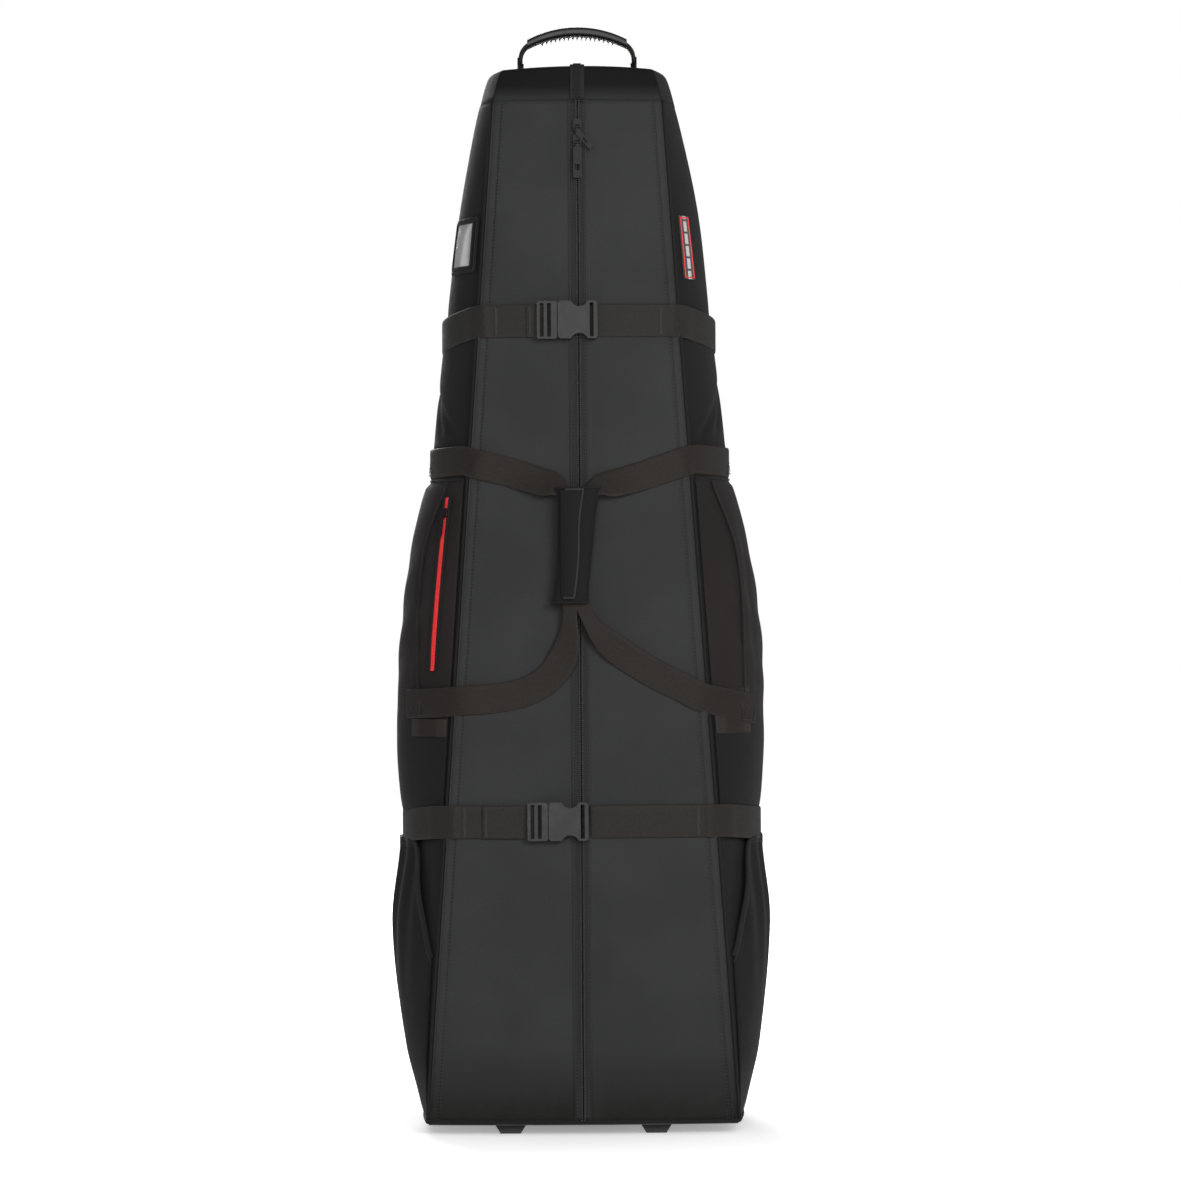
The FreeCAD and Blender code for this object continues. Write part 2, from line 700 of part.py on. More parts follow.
# --- carry handles and their wrap -----------------------------------------------------------
WRAP_LOW = 612.0
WRAP_HIGH = 744.0
WRAP_HALF = 23.0
WRAP_X = -4.0
WRAP_LIFT = 6.0
WRAP_THICK = 24.0
WRAP_WALL = 2.5
FLAP_GAP = 0.5
FLAP_THICK = 1.8
FLAP_WIDTH = 28.0
BUNDLE_GAP = 1.0
WRAP_CLEAR = 4.0            # between the wrap's ends and where the webbing spreads


def wrap_middle():
    return (WRAP_LOW + WRAP_HIGH) / 2.0


def carry_wrap():
    """Sleeve that holds the two carry straps together, open above and below."""
    half = (WRAP_HIGH - WRAP_LOW) / 2.0
    low, high = WRAP_LIFT, WRAP_LIFT + WRAP_THICK
    body = front_block(WRAP_X - WRAP_HALF, WRAP_X + WRAP_HALF, low, high, -half, half)
    body = body.makeFillet(6.0, [e for e in body.Edges if abs(e.tangentAt(0).z) > 0.99])
    hole = front_block(WRAP_X - WRAP_HALF + WRAP_WALL, WRAP_X + WRAP_HALF - WRAP_WALL,
                       low + WRAP_WALL, high - WRAP_WALL, -half - 1, half + 1)
    hole = hole.makeFillet(2.0, [e for e in hole.Edges if abs(e.tangentAt(0).z) > 0.99])
    return placed_front(body.cut(hole), wrap_middle())


def wrap_flap():
    half = (WRAP_HIGH - WRAP_LOW) / 2.0 - 2.0
    low = WRAP_LIFT + WRAP_THICK + FLAP_GAP
    start = WRAP_X - WRAP_HALF + 4.0
    flap = front_block(start, start + FLAP_WIDTH, low, low + FLAP_THICK, -half, half)
    return placed_front(flap, wrap_middle())


def ribbon(stations, width):
    """Webbing through (x, z, lift) stations, its width upright at each of them."""
    wires = []
    for x, z, lift in stations:
        near, far = [], []
        for end in (-0.5, 0.5):
            height = z + end * width
            near.append(front_point(height, x, lift))
            far.append(front_point(height, x, lift + WEB_THICK + 0.5))
        points = [near[0], near[1], far[1], far[0]]
        wires.append(Part.makePolygon(points + [points[0]]))
    return Part.makeLoft(wires, True, True)


def carry_bundle(x_low, x_high):
    """The stretch of folded webbing inside the wrap."""
    low = WRAP_LIFT + WRAP_WALL + BUNDLE_GAP
    high = WRAP_LIFT + WRAP_THICK - WRAP_WALL - BUNDLE_GAP
    half = (WRAP_HIGH - WRAP_LOW) / 2.0 + 9.0
    return placed_front(front_block(x_low, x_high, low, high, -half, half), wrap_middle())


def carry_web(side):
    """One carry strap's front part: sewn near the hinge above and below the wrap."""
    inner_gap = 0.7
    reach = WRAP_HALF - WRAP_WALL - BUNDLE_GAP
    if side > 0:
        bundle = carry_bundle(WRAP_X + inner_gap, WRAP_X + reach)
    else:
        bundle = carry_bundle(WRAP_X - reach, WRAP_X - inner_gap)
    middle = WRAP_X + side * (reach + inner_gap) / 2.0
    lift = WRAP_LIFT + WRAP_THICK / 2.0
    top = ribbon([(side * door_edge(UPPER_CARRY_Z), UPPER_CARRY_Z, SKIN_GAP),
                  (side * 85.0, mix(UPPER_CARRY_Z, WRAP_HIGH, 0.45), SKIN_GAP + 1.0),
                  (middle, WRAP_HIGH + CARRY_WIDTH / 2.0 + WRAP_CLEAR, lift - 2.0)], CARRY_WIDTH)
    low_z = LOWER_CARRY_Z
    low = ribbon([(side * door_edge(low_z), low_z, SKIN_GAP),
                  (side * 70.0, mix(low_z, WRAP_LOW, 0.35), SKIN_GAP + 2.0),
                  (middle, WRAP_LOW - CARRY_WIDTH / 2.0 - WRAP_CLEAR, lift - 2.0)], CARRY_WIDTH)
    return bundle.fuse([top, low])


def carry_anchor(z, end):
    """The strap's end on the side, sewn over the panel or over the shoe pocket."""
    half = CARRY_WIDTH / 2.0
    heights = [z - half, z, z + half]
    gap = RUN_GAP + 0.3
    if z - half > SHOE_HIGH:
        return band(side_point, heights, fixed(SIDE_STRAP_START), fixed(end), fixed(SKIN_GAP),
                    fixed(SKIN_GAP + WEB_THICK))
    return band(shoe_point, heights, fixed(0.02), fixed(end), fixed(gap), fixed(gap + WEB_THICK))


def carry_anchors():
    right = [carry_anchor(UPPER_CARRY_Z, 0.5), carry_anchor(LOWER_CARRY_Z, 0.28)]
    left = [carry_anchor(UPPER_CARRY_Z, 0.5), carry_anchor(LOWER_CARRY_Z, 0.5)]
    return group(right + [mirrored(shape) for shape in left])


save("carry_wrap", carry_wrap())
save("wrap_flap", wrap_flap())
save("right_carry_web", carry_web(1))
save("left_carry_web", carry_web(-1))
save("carry_anchors", carry_anchors())

# --- zipper sliders and pulls -----------------------------------------------------------------
SLIDER_HALF = 5.0
SLIDER_LIFT = COIL_LIFT + RUN_GAP
SLIDER_THICK = 3.0
PIN_RADIUS = 1.0
PIN_LIFT = SLIDER_LIFT + SLIDER_THICK + 2.4
EYE_HOLE = 1.35
EYE_RADIUS = 2.3
LUG_INNER = 3.0
LUG_OUTER = 4.4
LOWER_SLIDER_Z = SHOULDER - 48.0
UPPER_SLIDER_Z = SHOULDER - 30.0
PULL_LENGTH = 42.0
PULL_HALF = 5.0
UPPER_PULL_LENGTH = 32.0
NECK = 6.0                  # from the pin to the tab


def slider(half_height, pin_z):
    """Slider body with two lugs that hold the pull's cross pin."""
    top = SLIDER_LIFT + SLIDER_THICK
    body = front_block(-SLIDER_HALF, SLIDER_HALF, SLIDER_LIFT, top, -half_height, half_height)
    body = rounded(body, 2.0)
    for side in (-1, 1):
        inner, outer = sorted((side * LUG_INNER, side * LUG_OUTER))
        body = body.fuse(front_block(inner, outer, top - 0.5, PIN_LIFT + 1.6,
                                     pin_z - 1.6, pin_z + 1.6))
    pin = rod(PIN_RADIUS, 2 * LUG_OUTER, V(-LUG_OUTER, -PIN_LIFT, pin_z), X_AXIS)
    return body.fuse(pin)


def eye():
    """The pull's barrel around the slider's pin, about the pin itself."""
    half = LUG_INNER - 0.35
    barrel = rod(EYE_RADIUS, 2 * half, V(-half, 0, 0), X_AXIS)
    return barrel.cut(rod(EYE_HOLE, 2 * half + 2, V(-half - 1, 0, 0), X_AXIS))


def pull_tab(length, half, slant):
    """A neck and a flat tab hanging from the eye, turned sideways by slant degrees."""
    neck = box(-1.8, 1.8, -1.0, 1.0, -NECK - 1.0, -EYE_HOLE - 0.3)
    tab = rounded(box(-half, half, -1.0, 1.0, NECK - length, 0.5), 2.0)
    tab = tab.cut(box(-half + 2.2, half - 2.2, -2.0, 2.0, NECK - length + 9.0,
                      NECK - length + 16.0))
    tab.rotate(V(0, 0, 0), Y_AXIS, -slant)
    tab.translate(V(0, 0, -NECK))
    return neck.fuse(tab)


def pull(length, half, slant):
    bare = pull_tab(length, half, slant).cut(rod(EYE_HOLE, 12.0, V(-6, 0, 0), X_AXIS))
    return eye().fuse(bare)


def front_pull(length, half, slant, pin_z, z):
    shape = pull(length, half, slant)
    shape.translate(V(0, -PIN_LIFT, pin_z))
    return placed_front(shape, z)


SLIDER_PIN_Z = -3.0
SLIDER_HALF_HEIGHT = 7.0
UPPER_SLANT = 42.0

save("lower_slider", placed_front(slider(SLIDER_HALF_HEIGHT, SLIDER_PIN_Z), LOWER_SLIDER_Z))
save("lower_pull", front_pull(PULL_LENGTH, PULL_HALF, 0.0, SLIDER_PIN_Z, LOWER_SLIDER_Z))
save("upper_slider", placed_front(slider(SLIDER_HALF_HEIGHT, SLIDER_PIN_Z), UPPER_SLIDER_Z))
save("upper_pull", front_pull(UPPER_PULL_LENGTH, 3.5, UPPER_SLANT, SLIDER_PIN_Z,
                              UPPER_SLIDER_Z))

POCKET_SLIDER_Z = 716.0
POCKET_SLIDER_REACH = 60.0


def pocket_slider():
    """Slider and pull of the red pocket zipper, square to the pocket's face."""
    low = red_zip_point(POCKET_SLIDER_Z - POCKET_SLIDER_REACH, 0.0, 0.0)
    high = red_zip_point(POCKET_SLIDER_Z, 0.0, 0.0)
    outward = (red_zip_point(POCKET_SLIDER_Z, 0.0, 1.0) - high).normalize()
    along = (high - low).normalize()
    across = along.cross(outward).normalize()
    outward = across.cross(along).normalize()
    shape = box(-3.6, 3.6, -5.6, -3.0, -5.5, 5.5)
    shape = shape.fuse(box(-2.6, 2.6, -7.0, -5.6, -28.0, 2.0))
    frame = FreeCAD.Matrix(across.x, -outward.x, along.x, high.x,
                           across.y, -outward.y, along.y, high.y,
                           across.z, -outward.z, along.z, high.z, 0, 0, 0, 1)
    shape.Placement = FreeCAD.Placement(frame)
    return mirrored(shape)


save("pocket_slider", pocket_slider())

# --- top handle ---------------------------------------------------------------------------------
HANDLE_Y = 30.0
HANDLE_RISE = 60.0          # top of the grip above the hood
GRIP_HALF = 59.0
GRIP_DROP = 14.5
GRIP_THICK = 10.0
GRIP_DEPTH = 26.0
RIDGE_COUNT = 17
RIDGE_PITCH = 5.2
RIDGE_DEPTH = 5.2
LEG_THICK = 3.0
LEG_WIDTH = 25.0
LEG_FOOT_X = 66.7
PIVOT_Z = BODY_TOP + LEG_WIDTH / 2.0 + 0.8
TAB_THICK = 2.0
LEG_RIVET = 3.0
RIVET_HEAD = 5.0


HANDLE_TOP = BODY_TOP + HANDLE_RISE


def arch_z(x, drop):
    """Height of the grip's arched top line, lowered by drop."""
    radius = (GRIP_HALF ** 2 + GRIP_DROP ** 2) / (2.0 * GRIP_DROP)
    return HANDLE_TOP - radius + math.sqrt(radius ** 2 - x * x) - drop


def grip():
    """Moulded arch with finger ridges below."""
    y = HANDLE_Y - GRIP_DEPTH / 2.0
    ends = []
    for drop in (0.0, GRIP_THICK):
        ends.append([V(x, y, arch_z(x, drop)) for x in (-GRIP_HALF, 0.0, GRIP_HALF)])
    body = Part.Face(strip_wire(*ends)).extrude(V(0, GRIP_DEPTH, 0))
    body = body.makeFillet(3.5, [e for e in body.Edges if e.Length > GRIP_DEPTH + 1.0])
    for i in range(RIDGE_COUNT):
        x = RIDGE_PITCH * (i - (RIDGE_COUNT - 1) / 2.0)
        root = arch_z(x, GRIP_THICK - 1.0)
        inset = 5.0
        corners = [V(x - RIDGE_PITCH / 2.0 + 0.2, y + inset, root), V(x, y + inset, root - RIDGE_DEPTH),
                   V(x + RIDGE_PITCH / 2.0 - 0.2, y + inset, root)]
        body = body.fuse(polygon(corners).extrude(V(0, GRIP_DEPTH - 2 * inset, 0)))
    return body


def handle_leg(side):
    """Webbing leg from the grip's end out and down to its pivot."""
    top = V(side * (GRIP_HALF - 1.0), HANDLE_Y, arch_z(GRIP_HALF, 0.0) - GRIP_THICK * 0.55)
    foot_x = side * LEG_FOOT_X
    half = LEG_WIDTH / 2.0
    y = HANDLE_Y - half
    knee = PIVOT_Z + RIVET_HEAD + 1.0
    top_x = top.x + side * 1.2
    profile = []
    for x, z in ((foot_x, PIVOT_Z), (foot_x, knee), (top_x, top.z)):
        profile.append(V(x - LEG_THICK / 2.0, y, z))
    for x, z in ((top_x, top.z), (foot_x, knee), (foot_x, PIVOT_Z)):
        profile.append(V(x + LEG_THICK / 2.0, y, z))
    leg = polygon(profile).extrude(V(0, LEG_WIDTH, 0))
    end = rod(half, LEG_THICK, V(foot_x - LEG_THICK / 2.0, HANDLE_Y, PIVOT_Z), X_AXIS)
    leg = leg.fuse(end).cut(grip())
    hole = rod(LEG_RIVET + RUN_GAP, LEG_THICK + 4.0, V(foot_x - LEG_THICK / 2.0 - 2.0, HANDLE_Y,
                                                PIVOT_Z), X_AXIS)
    return leg.cut(hole)


def handle_anchor(side):
    """Sewn tab with a rivet that the leg swings on."""
    half = LEG_WIDTH / 2.0
    inner = LEG_FOOT_X + LEG_THICK / 2.0 + RUN_GAP
    start, end = sorted((side * inner, side * (inner + TAB_THICK)))
    plate = box(start, end, HANDLE_Y - half, HANDLE_Y + half, BODY_TOP, PIVOT_Z)
    top = rod(half, TAB_THICK, V(start, HANDLE_Y, PIVOT_Z), X_AXIS)
    rivet_length = LEG_THICK + 2 * RUN_GAP + TAB_THICK
    rivet_start = V(side * (inner + TAB_THICK), HANDLE_Y, PIVOT_Z)
    rivet = rod(LEG_RIVET, rivet_length + 1.5, rivet_start, V(-side, 0, 0))
    head_start = V(side * (LEG_FOOT_X - LEG_THICK / 2.0 - RUN_GAP), HANDLE_Y, PIVOT_Z)
    head = rod(RIVET_HEAD, 1.5, head_start, V(-side, 0, 0))
    return plate.fuse([top, rivet, head])


save("top_handle_grip", grip())
save("top_handle_legs", group([handle_leg(-1), handle_leg(1)]))
save("handle_anchors", group([handle_anchor(-1), handle_anchor(1)]))

# --- card window, badge and the inner tie strap ------------------------------------------------
CARD_Z = SHOULDER - 170.0
CARD_HALF = 28.0
CARD_START = 0.10
CARD_END = 0.42
CARD_BORDER = 6.0
BADGE_Z = SHOULDER - 174.0
BADGE_HALF = 37.0
BADGE_START = 0.07
BADGE_END = 0.17
TIE_Z = 600.0
TIE_MARGIN = 14.5           # from the strap's end to the side
TIE_BUCKLE_HALF = 20.0


def side_patch(z, half, start, end, low, high):
    return band(side_point, [z - half, z, z + half], fixed(start), fixed(end), fixed(low),
                fixed(high))


def card_holder():
    return side_patch(CARD_Z, CARD_HALF, CARD_START, CARD_END, SKIN_GAP, SKIN_GAP + SHEET)


def card_window():
    low = SKIN_GAP + SHEET + 0.3
    return side_patch(CARD_Z, CARD_HALF - CARD_BORDER, CARD_START + 0.05, CARD_END - 0.03, low,
                      low + 0.8)


def tie_straps():
    """Two webbing ends lying on the back board, ready to hold a golf bag."""
    face = BACK_Y - WALL - SEAM_GAP - STIFF - 0.3
    reach = seam_x(TIE_Z) - REAR_INSET - TIE_MARGIN
    straps = []
    for side in (-1, 1):
        start, end = sorted((side * (TIE_BUCKLE_HALF + 0.4), side * reach))
        straps.append(box(start, end, face - WEB_THICK, face, TIE_Z - WEB_WIDTH / 2.0,
                          TIE_Z + WEB_WIDTH / 2.0))
    return group(straps)


def tie_buckle():
    face = BACK_Y - WALL - SEAM_GAP - STIFF - 0.3
    half = BUCKLE_HEIGHT / 2.0
    block = box(-TIE_BUCKLE_HALF, TIE_BUCKLE_HALF, face - 8.0, face, TIE_Z - half, TIE_Z + half)
    block = rounded(block, 4.0)
    for side in (-1, 1):
        x = side * (TIE_BUCKLE_HALF - 6.0)
        block = block.cut(box(x - 2.2, x + 2.2, face - 9.0, face + 1, TIE_Z - half + 2.5,
                              TIE_Z + half - 2.5))
    return block


save("card_holder", mirrored(card_holder()))
save("card_window", mirrored(card_window()))
save("badge", side_patch(BADGE_Z, BADGE_HALF, BADGE_START, BADGE_END, SKIN_GAP, SKIN_GAP + 1.4))
save("tie_straps", tie_straps())
save("tie_buckle", tie_buckle())
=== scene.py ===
import math

import bpy
import numpy as np
from bpy.props import FloatProperty, FloatVectorProperty, IntProperty, PointerProperty
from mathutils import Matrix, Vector


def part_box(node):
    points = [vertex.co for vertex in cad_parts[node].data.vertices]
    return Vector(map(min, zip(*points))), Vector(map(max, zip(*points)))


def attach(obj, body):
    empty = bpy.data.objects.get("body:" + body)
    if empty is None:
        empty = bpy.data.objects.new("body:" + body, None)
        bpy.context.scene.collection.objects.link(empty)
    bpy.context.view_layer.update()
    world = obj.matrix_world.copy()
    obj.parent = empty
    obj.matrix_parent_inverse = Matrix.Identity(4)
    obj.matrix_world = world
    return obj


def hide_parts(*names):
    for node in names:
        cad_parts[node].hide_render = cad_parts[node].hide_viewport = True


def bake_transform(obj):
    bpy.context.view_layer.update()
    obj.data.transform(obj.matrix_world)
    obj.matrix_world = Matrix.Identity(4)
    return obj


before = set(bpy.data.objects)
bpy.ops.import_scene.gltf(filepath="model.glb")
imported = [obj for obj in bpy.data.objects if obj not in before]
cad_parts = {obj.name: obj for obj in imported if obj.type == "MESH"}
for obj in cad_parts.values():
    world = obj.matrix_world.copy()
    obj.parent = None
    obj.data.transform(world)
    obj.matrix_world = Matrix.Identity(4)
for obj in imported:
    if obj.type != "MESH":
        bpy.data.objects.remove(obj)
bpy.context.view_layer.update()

bl_info = {
    "name": "Golf Travel Case",
    "version": (1, 0, 0),
    "blender": (4, 5, 0),
    "location": "View3D > Sidebar > Travel Case",
    "description": "Cloth, webbing, zippers and trim of a wheeled golf travel case",
    "category": "Add Mesh",
}

# --- the case's form, read from the frame or shared with it ----------------------------
BASE_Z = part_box("base_panel")[0].z
PANEL_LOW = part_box("right_front_panel")[0].z
DOOR_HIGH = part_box("right_front_panel")[1].z
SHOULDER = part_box("hood")[0].z
TOP_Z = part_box("hood")[1].z
BACK_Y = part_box("back_panel")[1].y
WALL = BACK_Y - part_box("back_panel")[0].y
BASE_HALF = 0.1784
TOP_HALF = 0.0980
REAR_INSET = 0.006
SIDE_SWELL = 0.048
SWELL_POWER = 0.45
FRONT_BASE_Y = -0.158
FRONT_LEAN = 0.075
FRONT_CROWN = 0.010
SEAM_GAP = 0.0005
WEB_WIDTH = 0.038
WEB_THICK = 0.002
CARRY_WIDTH = 0.034
STRAP_Z = {"top": 0.938, "lower": 0.359}
SHOE_LOW, SHOE_HIGH = 0.342, 0.754
SHOE_SPAN = (0.03, 0.86)
SHOE_BULGE = 0.025
POCKET_EDGE = 0.0024
LOW_POCKET_LOW, LOW_POCKET_HIGH = 0.044, 0.334
LOW_POCKET_SPAN = (0.05, 0.93)
LOW_POCKET_BULGE = 0.018
WRAP_LOW, WRAP_HIGH = 0.612, 0.744
WRAP_LIFT, WRAP_THICK = 0.006, 0.024
CARD_Z = SHOULDER - 0.170
BADGE_Z = SHOULDER - 0.174
SIDES = (("right", 1), ("left", -1))
HOOD_ARCH = 0.0042
HOOD_LEAN, HOOD_ROLL = 0.0085, 0.0055      # how far its wall leans in, and its edge rolls in
HOOD_WALL = 0.0046
HOOD_DOME = 0.0012
HEM_Z = 0.482                              # below this the shoe pockets take the side's tone
FLAP_HINGE_X = -0.0222                     # the wrap's flap stays on the free side of its hinge
TUCK = 0.004                               # how far the cloth runs in under the base
QUARTER = math.pi / 2 * 0.9999             # a quarter turn, kept off the cosine's zero
HINGE_STITCHES = (0.0098, 0.0122)          # twin rows, inward from the seam
BACK_STITCHES = (0.0095, 0.0125)
CHANNEL_X = 0.055                          # sewn channels down the back
TINY = 1e-9
AIM = (0, 0, 0.65)
CAMERA_X, CAMERA_Z, CAMERA_FORE = 0.0119, 0.6254, 0.030
FLOOR_HALF = 9.0
GLOW, GLOW_RISE = 0.24, 0.75               # floor's glow at the middle, and its rise per metre
AMBIENT = 0.24                             # strength of the white room on the case itself
LIGHTS = (("key", (2.0, -4.9, 2.2), 2.2, 172.0),    # name, place, size and power
          ("fill", (-0.25, -5.3, 1.4), 2.0, 100.0),
          ("back", (-0.9, 4.8, 2.4), 2.4, 210.0),
          ("right", (4.4, 3.0, 1.6), 1.6, 15.0),
          ("left", (-4.4, 3.4, 1.6), 1.6, 7.0))


def rise(z):
    """Share of the height from the base to the shoulder."""
    return (z - BASE_Z) / (SHOULDER - BASE_Z)


def seam_x(z):
    """Half width of the front: straight taper from the base to the shoulder."""
    return BASE_HALF + (TOP_HALF - BASE_HALF) * rise(z)


def front_y(z):
    """The front edge leans back in a straight line."""
    return FRONT_BASE_Y + FRONT_LEAN * rise(z)


def swell(z):
    """Belly of the sides: a flattened ellipse, swell * (4 u (1 - u)) ** power."""
    share = np.clip((z - BASE_Z) / (TOP_Z - 0.003 - BASE_Z), TINY, 1 - TINY)
    return SIDE_SWELL * (4 * share * (1 - share)) ** SWELL_POWER


def bow(first, middle, last):
    """Centre, radius, start angle and sweep of the circle through three (x, y) points."""
    (ax, ay), (bx, by), (cx, cy) = first, middle, last
    double = 2 * (ax * (by - cy) + bx * (cy - ay) + cx * (ay - by))
    a2, b2, c2 = ax * ax + ay * ay, bx * bx + by * by, cx * cx + cy * cy
    x = (a2 * (by - cy) + b2 * (cy - ay) + c2 * (ay - by)) / double
    y = (a2 * (cx - bx) + b2 * (ax - cx) + c2 * (bx - ax)) / double
    start = np.arctan2(ay - y, ax - x)
    sweep = np.mod(np.arctan2(cy - y, cx - x) - start + np.pi, 2 * np.pi) - np.pi
    return x, y, np.hypot(ax - x, ay - y), start, sweep


def bow_point(arc, share, out, z):
    """Point a share of the way along a circle's arc and a distance outside it."""
    x, y, radius, start, sweep = arc
    angle = start + sweep * share
    px, py = x + (radius + out) * np.cos(angle), y + (radius + out) * np.sin(angle)
    return np.stack(np.broadcast_arrays(px, py, z), -1)


def side_bow(z):
    depth = WALL + SEAM_GAP
    front = (seam_x(z), front_y(z) + depth)
    middle = (seam_x(z) + swell(z), (front_y(z) + BACK_Y) / 2)
    return bow(front, middle, (seam_x(z) - REAR_INSET, BACK_Y - depth))


def side_point(z, share, out):
    """Right side panel: an arc from the front seam over the belly to the rear seam."""
    return bow_point(side_bow(z), share, out, z)


def front_point(z, x, out):
    """Front: an arc from seam to seam that bows out by the crown in the middle."""
    half = seam_x(z)
    radius = (half ** 2 + FRONT_CROWN ** 2) / (2 * FRONT_CROWN)
    y = front_y(z) - FRONT_CROWN + radius - np.sqrt((radius + out) ** 2 - x * x)
    return np.stack(np.broadcast_arrays(x, y, z), -1)


def shoe_bulge(z):
    """Depth of the shoe pocket: sin(pi u) ** 0.6 of its fullest bulge."""
    share = (z - SHOE_LOW + 0.017) / (SHOE_HIGH - SHOE_LOW + 0.021)
    return SHOE_BULGE * np.sin(np.pi * np.clip(share, 0.001, 0.999)) ** 0.6


def low_bulge(z):
    """Depth of the open pocket: rises on a sine that peaks below its mouth."""
    share = (z - LOW_POCKET_LOW + 0.010) / (LOW_POCKET_HIGH - LOW_POCKET_LOW + 0.010)
    full = LOW_POCKET_BULGE * np.sin(np.pi * 0.62 * np.clip(share, 0, 1.1))
    return POCKET_EDGE + 0.001 + full * (1 - 0.42 * ease(z, 0.235, LOW_POCKET_HIGH))


def lens_point(bulge, span, z, share, out):
    """Pocket face: the arc through the span's two ends, flat on the side, and the bulge."""
    low, high = (side_point(z, s, POCKET_EDGE) for s in span)
    middle = side_point(z, (span[0] + span[1]) / 2, bulge(z))
    arc = bow((low[..., 0], low[..., 1]), (middle[..., 0], middle[..., 1]),
              (high[..., 0], high[..., 1]))
    return bow_point(arc, share, out, z)


def shoe_point(z, share, out):
    return lens_point(shoe_bulge, SHOE_SPAN, z, share, out)


def low_point(z, share, out):
    return lens_point(low_bulge, LOW_POCKET_SPAN, z, share, out)


def mirrored(points, side):
    """The same points on the other side of the case when side is -1."""
    return points * np.array([side, 1.0, 1.0])


def wander(a, b, seed, count=7):
    """Soft unevenness from -1 to 1: a sum of slow sine waves in two directions."""
    rng = np.random.default_rng(seed)
    total = 0
    for _ in range(count):
        fa, fb = rng.uniform(4, 26, 2)
        total = total + np.sin(fa * a + rng.uniform(0, 6.3)) * np.sin(fb * b + rng.uniform(0, 6.3))
    return total / math.sqrt(count)


def bell(value, centre, width):
    """Gaussian bump of height one."""
    return np.exp(-((value - centre) / width) ** 2)


def ease(value, low, high):
    """Smooth step from 0 at low to 1 at high."""
    t = np.clip((value - low) / (high - low), 0, 1)
    return t * t * (3 - 2 * t)


# --- mesh making -------------------------------------------------------------------------
def quads(index):
    """Faces between neighbouring rows and columns of a grid of vertex numbers."""
    return np.stack([index[:-1, :-1], index[:-1, 1:], index[1:, 1:], index[1:, :-1]],
                    -1).reshape(-1, 4)


def outward(vertices, faces):
    """Turn every face round if the closed mesh's signed volume is negative."""
    a, b, c, d = (vertices[faces[:, i]] for i in range(4))
    volume = np.einsum("ij,ij->i", a, np.cross(b, c) + np.cross(c, d)).sum()
    return faces if volume >= 0 else faces[:, ::-1]


def make_object(name, vertices, faces, uv=None, smooth=True):
    """Mesh object at the origin; a face whose last two corners are equal is a triangle."""
    faces = np.asarray(faces)
    lists = [f[:3] if len(f) == 4 and f[2] == f[3] else f for f in faces.tolist()]
    mesh = bpy.data.meshes.new(name)
    mesh.from_pydata(np.asarray(vertices, float).tolist(), [], lists)
    if uv is not None:
        corner = np.zeros(len(mesh.loops), int)
        mesh.loops.foreach_get("vertex_index", corner)
        layer = mesh.uv_layers.new(name="cloth")
        layer.data.foreach_set("uv", np.asarray(uv, np.float32)[corner].ravel())
    mesh.polygons.foreach_set("use_smooth", [smooth] * len(mesh.polygons))
    mesh.update()
    mesh.validate()
    thing = bpy.data.objects.new(name, mesh)
    bpy.context.scene.collection.objects.link(thing)
    return thing


def distances(points):
    """Distance along a line of points, from 0 at the first."""
    return np.concatenate([[0], np.cumsum(np.linalg.norm(np.diff(points, axis=0), axis=1))])


def ring_index(count, size):
    """Vertex numbers of rings of points, the first column repeated to close each ring."""
    index = np.arange(count * size).reshape(count, size)
    return np.concatenate([index, index[:, :1]], 1)


def grid_uv(points):
    """Cloth coordinates in metres: distance along each row and down the middle column."""
    across = np.linalg.norm(np.diff(points, axis=1), axis=2)
    across = np.concatenate([np.zeros((len(points), 1)), np.cumsum(across, 1)], 1)
    across = across - across.mean(1, keepdims=True)
    down = distances(points[:, points.shape[1] // 2])
    return np.stack([across, np.broadcast_to(down[:, None], across.shape)], -1)


def sheet_parts(outer, inner):
    """Closed sheet from two matching grids: both faces and a rim of quads round the edge."""
    rows, columns = outer.shape[:2]
    count = rows * columns
    index = np.arange(count).reshape(rows, columns)
    rim = np.concatenate([index[0, :-1], index[:-1, -1], index[-1, :0:-1], index[:0:-1, 0]])
    following = np.roll(rim, -1)
    edge = np.stack([following, rim, rim + count, following + count], -1)
    faces = np.concatenate([quads(index), quads(index)[:, ::-1] + count, edge])
    vertices = np.concatenate([outer.reshape(-1, 3), inner.reshape(-1, 3)])
    uv = grid_uv(outer).reshape(-1, 2)
    return vertices, outward(vertices, faces), np.concatenate([uv, uv])


def sheet(name, outer, inner):
    return make_object(name, *sheet_parts(outer, inner))


def joined(name, parts):
    """One object from several (vertices, faces, uv) parts."""
    offset, vertices, faces, uv = 0, [], [], []
    for part in parts:
        vertices.append(part[0])
        faces.append(part[1] + offset)
        uv.append(part[2])
        offset += len(part[0])
    return make_object(name, np.concatenate(vertices), np.concatenate(faces), np.concatenate(uv))


def unit(vectors):
    return vectors / np.maximum(np.linalg.norm(vectors, axis=-1, keepdims=True), TINY)


def smooth_path(points, count):
    """Catmull-Rom curve through the points, resampled to evenly spaced ones."""
    p = np.asarray(points, float)
    padded = np.concatenate([[2 * p[0] - p[1]], p, [2 * p[-1] - p[-2]]])
    fine = np.linspace(0, len(p) - 1 - TINY, max(count * 4, 40))
    i = fine.astype(int)
    t = (fine - i)[:, None]
    a, b, c, d = (padded[i + k] for k in range(4))
    curve = 0.5 * (2 * b + (c - a) * t + (2 * a - 5 * b + 4 * c - d) * t ** 2
                   + (3 * b - a - 3 * c + d) * t ** 3)
    return resampled(curve, count)


